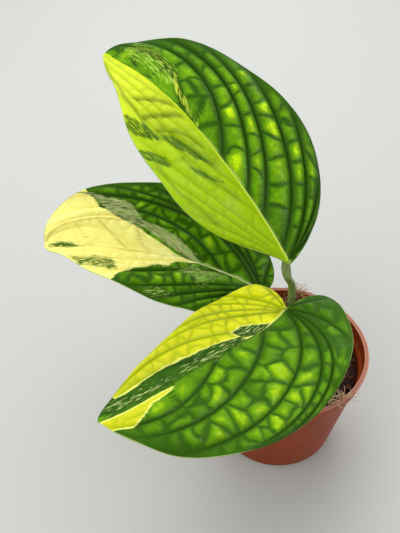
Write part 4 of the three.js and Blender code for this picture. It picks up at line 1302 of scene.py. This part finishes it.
class MONSTERA_OT_stalks(bpy.types.Operator):
    """Grows the stem and the three petioles that carry the blades"""
    bl_idname = "monstera.stalks"
    bl_label = "Stem and Petioles"

    def execute(self, context):
        skin = stalk_material()
        route, _ = smooth_route(STEM_ROUTE, 90)
        t = np.linspace(0, 1, len(route))
        node = np.maximum(0, np.cos(5.5 * np.pi * t - 0.4)) ** 4
        radii = STEM_RADIUS + STEM_NODE_SWELL * node - 0.9 * np.maximum(0, t - 0.86) / 0.14
        self.tube("stem_stalk", "stem", route, radii, 36, skin)
        for name, leaf in LEAVES.items():
            midrib = midrib_of(leaf)
            along, up = midrib["along"][0], midrib["up"][0]
            below = BLADE_THICKNESS / 2 + MIDRIB_KEEL + FIT_GAP + PETIOLE_RADIUS + KNEE_SWELL
            meet = np.array(leaf["base"]) - up * below + along * PETIOLE_RUN_IN
            knee = meet - along * PETIOLE_RUN_OUT - np.array([0, 0, KNEE_DROP])
            # The solid stalk stops short of the blade; here it grows into the midrib.
            grown = meet + up * PETIOLE_REACH
            route, length = smooth_route([*leaf["petiole"], knee, grown], 120)
            t = np.linspace(0, 1, len(route))
            sheath = (PETIOLE_FOOT_RADIUS - PETIOLE_RADIUS) * np.exp(-t * length / 22)
            swell = KNEE_SWELL * bell((1 - t) * length - PETIOLE_RUN_OUT, KNEE_LENGTH)
            radii = (PETIOLE_RADIUS + sheath + swell) * (0.7 + 0.3 * ramp(1 - t, 0, 4 / length))
            self.tube(name.replace("leaf", "petiole") + "_stalk",
                      name.replace("leaf", "petiole"), route, radii, 28, skin)
        return {"FINISHED"}

    def tube(self, name, node, route, radii, sides, skin):
        """A stalk with a shallow groove down its upper side and rounded ends."""
        count = len(route)
        ends = np.sqrt(np.clip(1 - (1 - np.clip(np.minimum(np.arange(count),
                       count - 1 - np.arange(count)) / 3, 0, 1)) ** 2, 0.02, 1))
        angle = 2 * np.pi * np.arange(sides) / sides
        groove = 1 - 0.1 * bell(np.angle(np.exp(1j * (angle - np.pi / 2))), 0.35)
        points, faces = swept(route, radii * ends, sides, np.tile(groove, (count, 1)))
        run = np.append(0, np.cumsum(np.linalg.norm(np.diff(route, axis=0), axis=1)))
        place = np.stack([np.tile(angle * radii.mean(), count), np.repeat(run, sides)], 1)
        place = np.vstack([place, [(0, 0)], [(0, run[-1])]])
        corners = np.concatenate([np.array(face) for face in faces])
        stalk = add_mesh(name, points, faces, uv={"surface": place[corners]})
        dress(stalk, node, skin)


class MONSTERA_OT_blades(bpy.types.Operator):
    """Grows the three puckered, variegated blades on their grids"""
    bl_idname = "monstera.blades"
    bl_label = "Leaf Blades"

    def execute(self, context):
        settings = context.scene.monstera_blades
        for i, (name, leaf) in enumerate(LEAVES.items()):
            blade = blade_mesh(name + "_fine", leaf, settings, SEED + 10 * (i + 1))
            follow = "flat" if name == "leaf_front" else "surface"
            skin = blade_material("waxy_aroid_" + name, leaf, TONES[name], follow)
            dress(blade, name, skin)
        return {"FINISHED"}


class MONSTERA_OT_moss(bpy.types.Operator):
    """Lays strands of dry moss and fibre on the mix, beside the stem and over the rim"""
    bl_idname = "monstera.moss"
    bl_label = "Moss and Fibre"

    def execute(self, context):
        settings = context.scene.monstera_mix
        rng = np.random.default_rng(SEED + 5)
        # Tufts: x, y, height, spread, share of the strands and how pale they are
        tufts = [(2, 36, 62, 6, 0.36, 0.25), (13, 42, 63, 5, 0.24, 0.2),
                 (14, 45.8, 69.5, 2.6, 0.1, 0.5), (24, -38.5, 69.5, 2.6, 0.07, 0.95),
                 (30, -36, 68.5, 3, 0.03, 0.8), (30, 8, 60.5, 9, 0.2, 0.05)]
        points, faces, tones, start = [], [], [], 0
        sides, places = 4, 7
        for x, y, z, spread, share, pale in tufts:
            for _ in range(round(settings.strands * share)):
                centre = np.array([x, y, z]) + rng.normal(0, 1, 3) * (spread, spread * 0.6, 1.3)
                heading = rng.uniform(0, 2 * np.pi)
                size = rng.uniform(2.5, 9)
                ring = np.linspace(0, rng.uniform(2.5, 9) / size, places)
                route = centre + size * np.stack([
                    np.cos(heading + ring) - math.cos(heading),
                    np.sin(heading + ring) - math.sin(heading),
                    rng.uniform(0.1, 0.5) * np.sin(ring * rng.uniform(0.8, 1.6))], 1)
                away = np.hypot(route[:, 0], route[:, 1])
                limit = RIM_RADIUS - LIP_WIDTH
                if z < POT_HEIGHT - 2.5:
                    route[:, :2] *= np.minimum(1, (limit - 0.6) / away)[:, None]
                    route[:, 2] = np.clip(route[:, 2], SOIL_LEVEL + 0.5, POT_HEIGHT + 1)
                else:
                    route[:, 2] = np.where(away > limit, np.maximum(route[:, 2],
                                                                    POT_HEIGHT + 0.3),
                                           route[:, 2])
                route[:, 0] = np.minimum(route[:, 0], RIM_RADIUS - 0.5)
                radii = rng.uniform(0.12, 0.27) * np.sin(np.linspace(0.5, 2.64, places))
                made, turned_faces = swept(route, radii, sides)
                points.append(made)
                faces += [[corner + start for corner in face] for face in turned_faces]
                start += len(made)
                tones.append(np.full(len(made), np.clip(pale + rng.uniform(-0.25, 0.25), 0, 1)))
        moss = add_mesh("moss_strands", np.vstack(points), faces,
                        {"tone": np.concatenate(tones)})
        dress(moss, None, fibre_material(settings.fibre_colour))
        return {"FINISHED"}


class MONSTERA_OT_studio(bpy.types.Operator):
    """Sets the camera where the photograph was taken, and the plain floor and soft light"""
    bl_idname = "monstera.studio"
    bl_label = "Studio"

    # The photograph: 533 pixels high, with a focal length of 660 of its pixels
    PHOTO_HEIGHT = 533
    FOCAL_PIXELS = 660
    PITCH = 41.34
    PLACE = (-48.5, -260.4, 360.9)

    def execute(self, context):
        settings = context.scene.monstera_studio
        lens = bpy.data.cameras.new("camera")
        lens.sensor_width = 36
        lens.lens = self.FOCAL_PIXELS * lens.sensor_width / self.PHOTO_HEIGHT
        lens.clip_start = 0.01
        camera = bpy.data.objects.new("camera", lens)
        camera.location = [c * MM for c in self.PLACE]
        camera.rotation_euler = (math.radians(90 - self.PITCH), 0, 0)
        context.scene.collection.objects.link(camera)
        context.scene.camera = camera
        context.scene.view_settings.view_transform = "Standard"

        size = 3000
        floor = add_mesh("floor", np.array([(-size, -size, 0), (size, -size, 0),
                                            (size, size, 0), (-size, size, 0)], float),
                         [(0, 1, 2, 3)], smooth=False)
        paint, tree, shader = blank_material("pale_satin_board")
        set_inputs(tree, shader, {"Base Color": rgba(settings.floor_colour), "Roughness": 0.5})
        floor.data.materials.append(paint)
        floor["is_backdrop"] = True

        warm, cool, white = (1.0, 0.99, 0.97), (0.97, 0.99, 1.0), (1.0, 1.0, 1.0)
        for name, place, target, size, share, colour, mirrored in (
                ("key", (-60, 480, 900), (0, 240, 0), 800, 0.74, warm, False),
                ("window", (-600, -260, 800), (-40, 0, 90), 700, 0.74, cool, False),
                ("fill", (560, -300, 700), (-40, 0, 60), 600, 0.2, warm, False),
                ("back", (0, 1150, 800), (0, 950, 0), 900, 0.95, white, False),
                ("right_glint", (600, -220, 870), (0, 0, 120), 160, 0.4, white, True),
                ("back_glint", (450, 480, 800), (0, 0, 120), 120, 0.16, white, True)):
            self.softbox(name, place, target, size, settings.key_power * share, colour, mirrored)
        world = bpy.data.worlds.new("even_light")
        context.scene.world = world
        world.use_nodes = True
        background = world.node_tree.nodes["Background"]
        background.inputs["Color"].default_value = (0.97, 0.985, 1.0, 1)
        background.inputs["Strength"].default_value = settings.sky
        return {"FINISHED"}

    def softbox(self, name, place, target, size, power, colour, mirrored):
        """A square area light at place, facing target. The broad ones only light, and the
        small ones are only mirrored in glossy skin."""
        light = bpy.data.lights.new(name, "AREA")
        light.size = size * MM
        light.energy = power
        light.color = colour
        box = bpy.data.objects.new(name, light)
        box.visible_glossy = mirrored
        box.visible_diffuse = not mirrored
        start = [c * MM for c in place]
        aim = [(b - a) * MM for a, b in zip(place, target)]
        flat = math.hypot(aim[0], aim[1])
        box.location = start
        box.rotation_euler = (math.atan2(flat, -aim[2]), 0, math.atan2(-aim[0], aim[1]))
        bpy.context.scene.collection.objects.link(box)


class MONSTERA_PT_sidebar(bpy.types.Panel):
    """Lists what grows the plant"""
    bl_idname = "MONSTERA_PT_sidebar"
    bl_label = "Potted Plant"
    bl_space_type = "VIEW_3D"
    bl_region_type = "UI"
    bl_category = "Potted Plant"

    def draw(self, context):
        for operator in OPERATORS:
            self.layout.operator(operator.bl_idname)
        for group in GROUPS:
            box = self.layout.box()
            for key in GROUPS[group].__annotations__:
                box.prop(getattr(context.scene, group), key)


GROUPS = {"monstera_pot": PotSettings, "monstera_mix": MixSettings,
          "monstera_blades": BladeSettings, "monstera_studio": StudioSettings}
OPERATORS = (MONSTERA_OT_studio, MONSTERA_OT_pot, MONSTERA_OT_mix, MONSTERA_OT_stalks,
             MONSTERA_OT_blades, MONSTERA_OT_moss)


def register():
    for made in (*GROUPS.values(), *OPERATORS, MONSTERA_PT_sidebar):
        bpy.utils.register_class(made)
    for name, group in GROUPS.items():
        setattr(bpy.types.Scene, name, bpy.props.PointerProperty(type=group))


def unregister():
    for name in GROUPS:
        delattr(bpy.types.Scene, name)
    for made in (MONSTERA_PT_sidebar, *reversed(OPERATORS), *GROUPS.values()):
        bpy.utils.unregister_class(made)


def main():
    register()
    bpy.ops.monstera.studio()
    bpy.ops.monstera.pot()
    bpy.ops.monstera.mix()
    bpy.ops.monstera.stalks()
    bpy.ops.monstera.blades()
    bpy.ops.monstera.moss()
    ({"cad": [list(corner) for corner in cad_box],
               "visual": [list(corner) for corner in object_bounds()]})


if __name__ == "__main__":
    main()
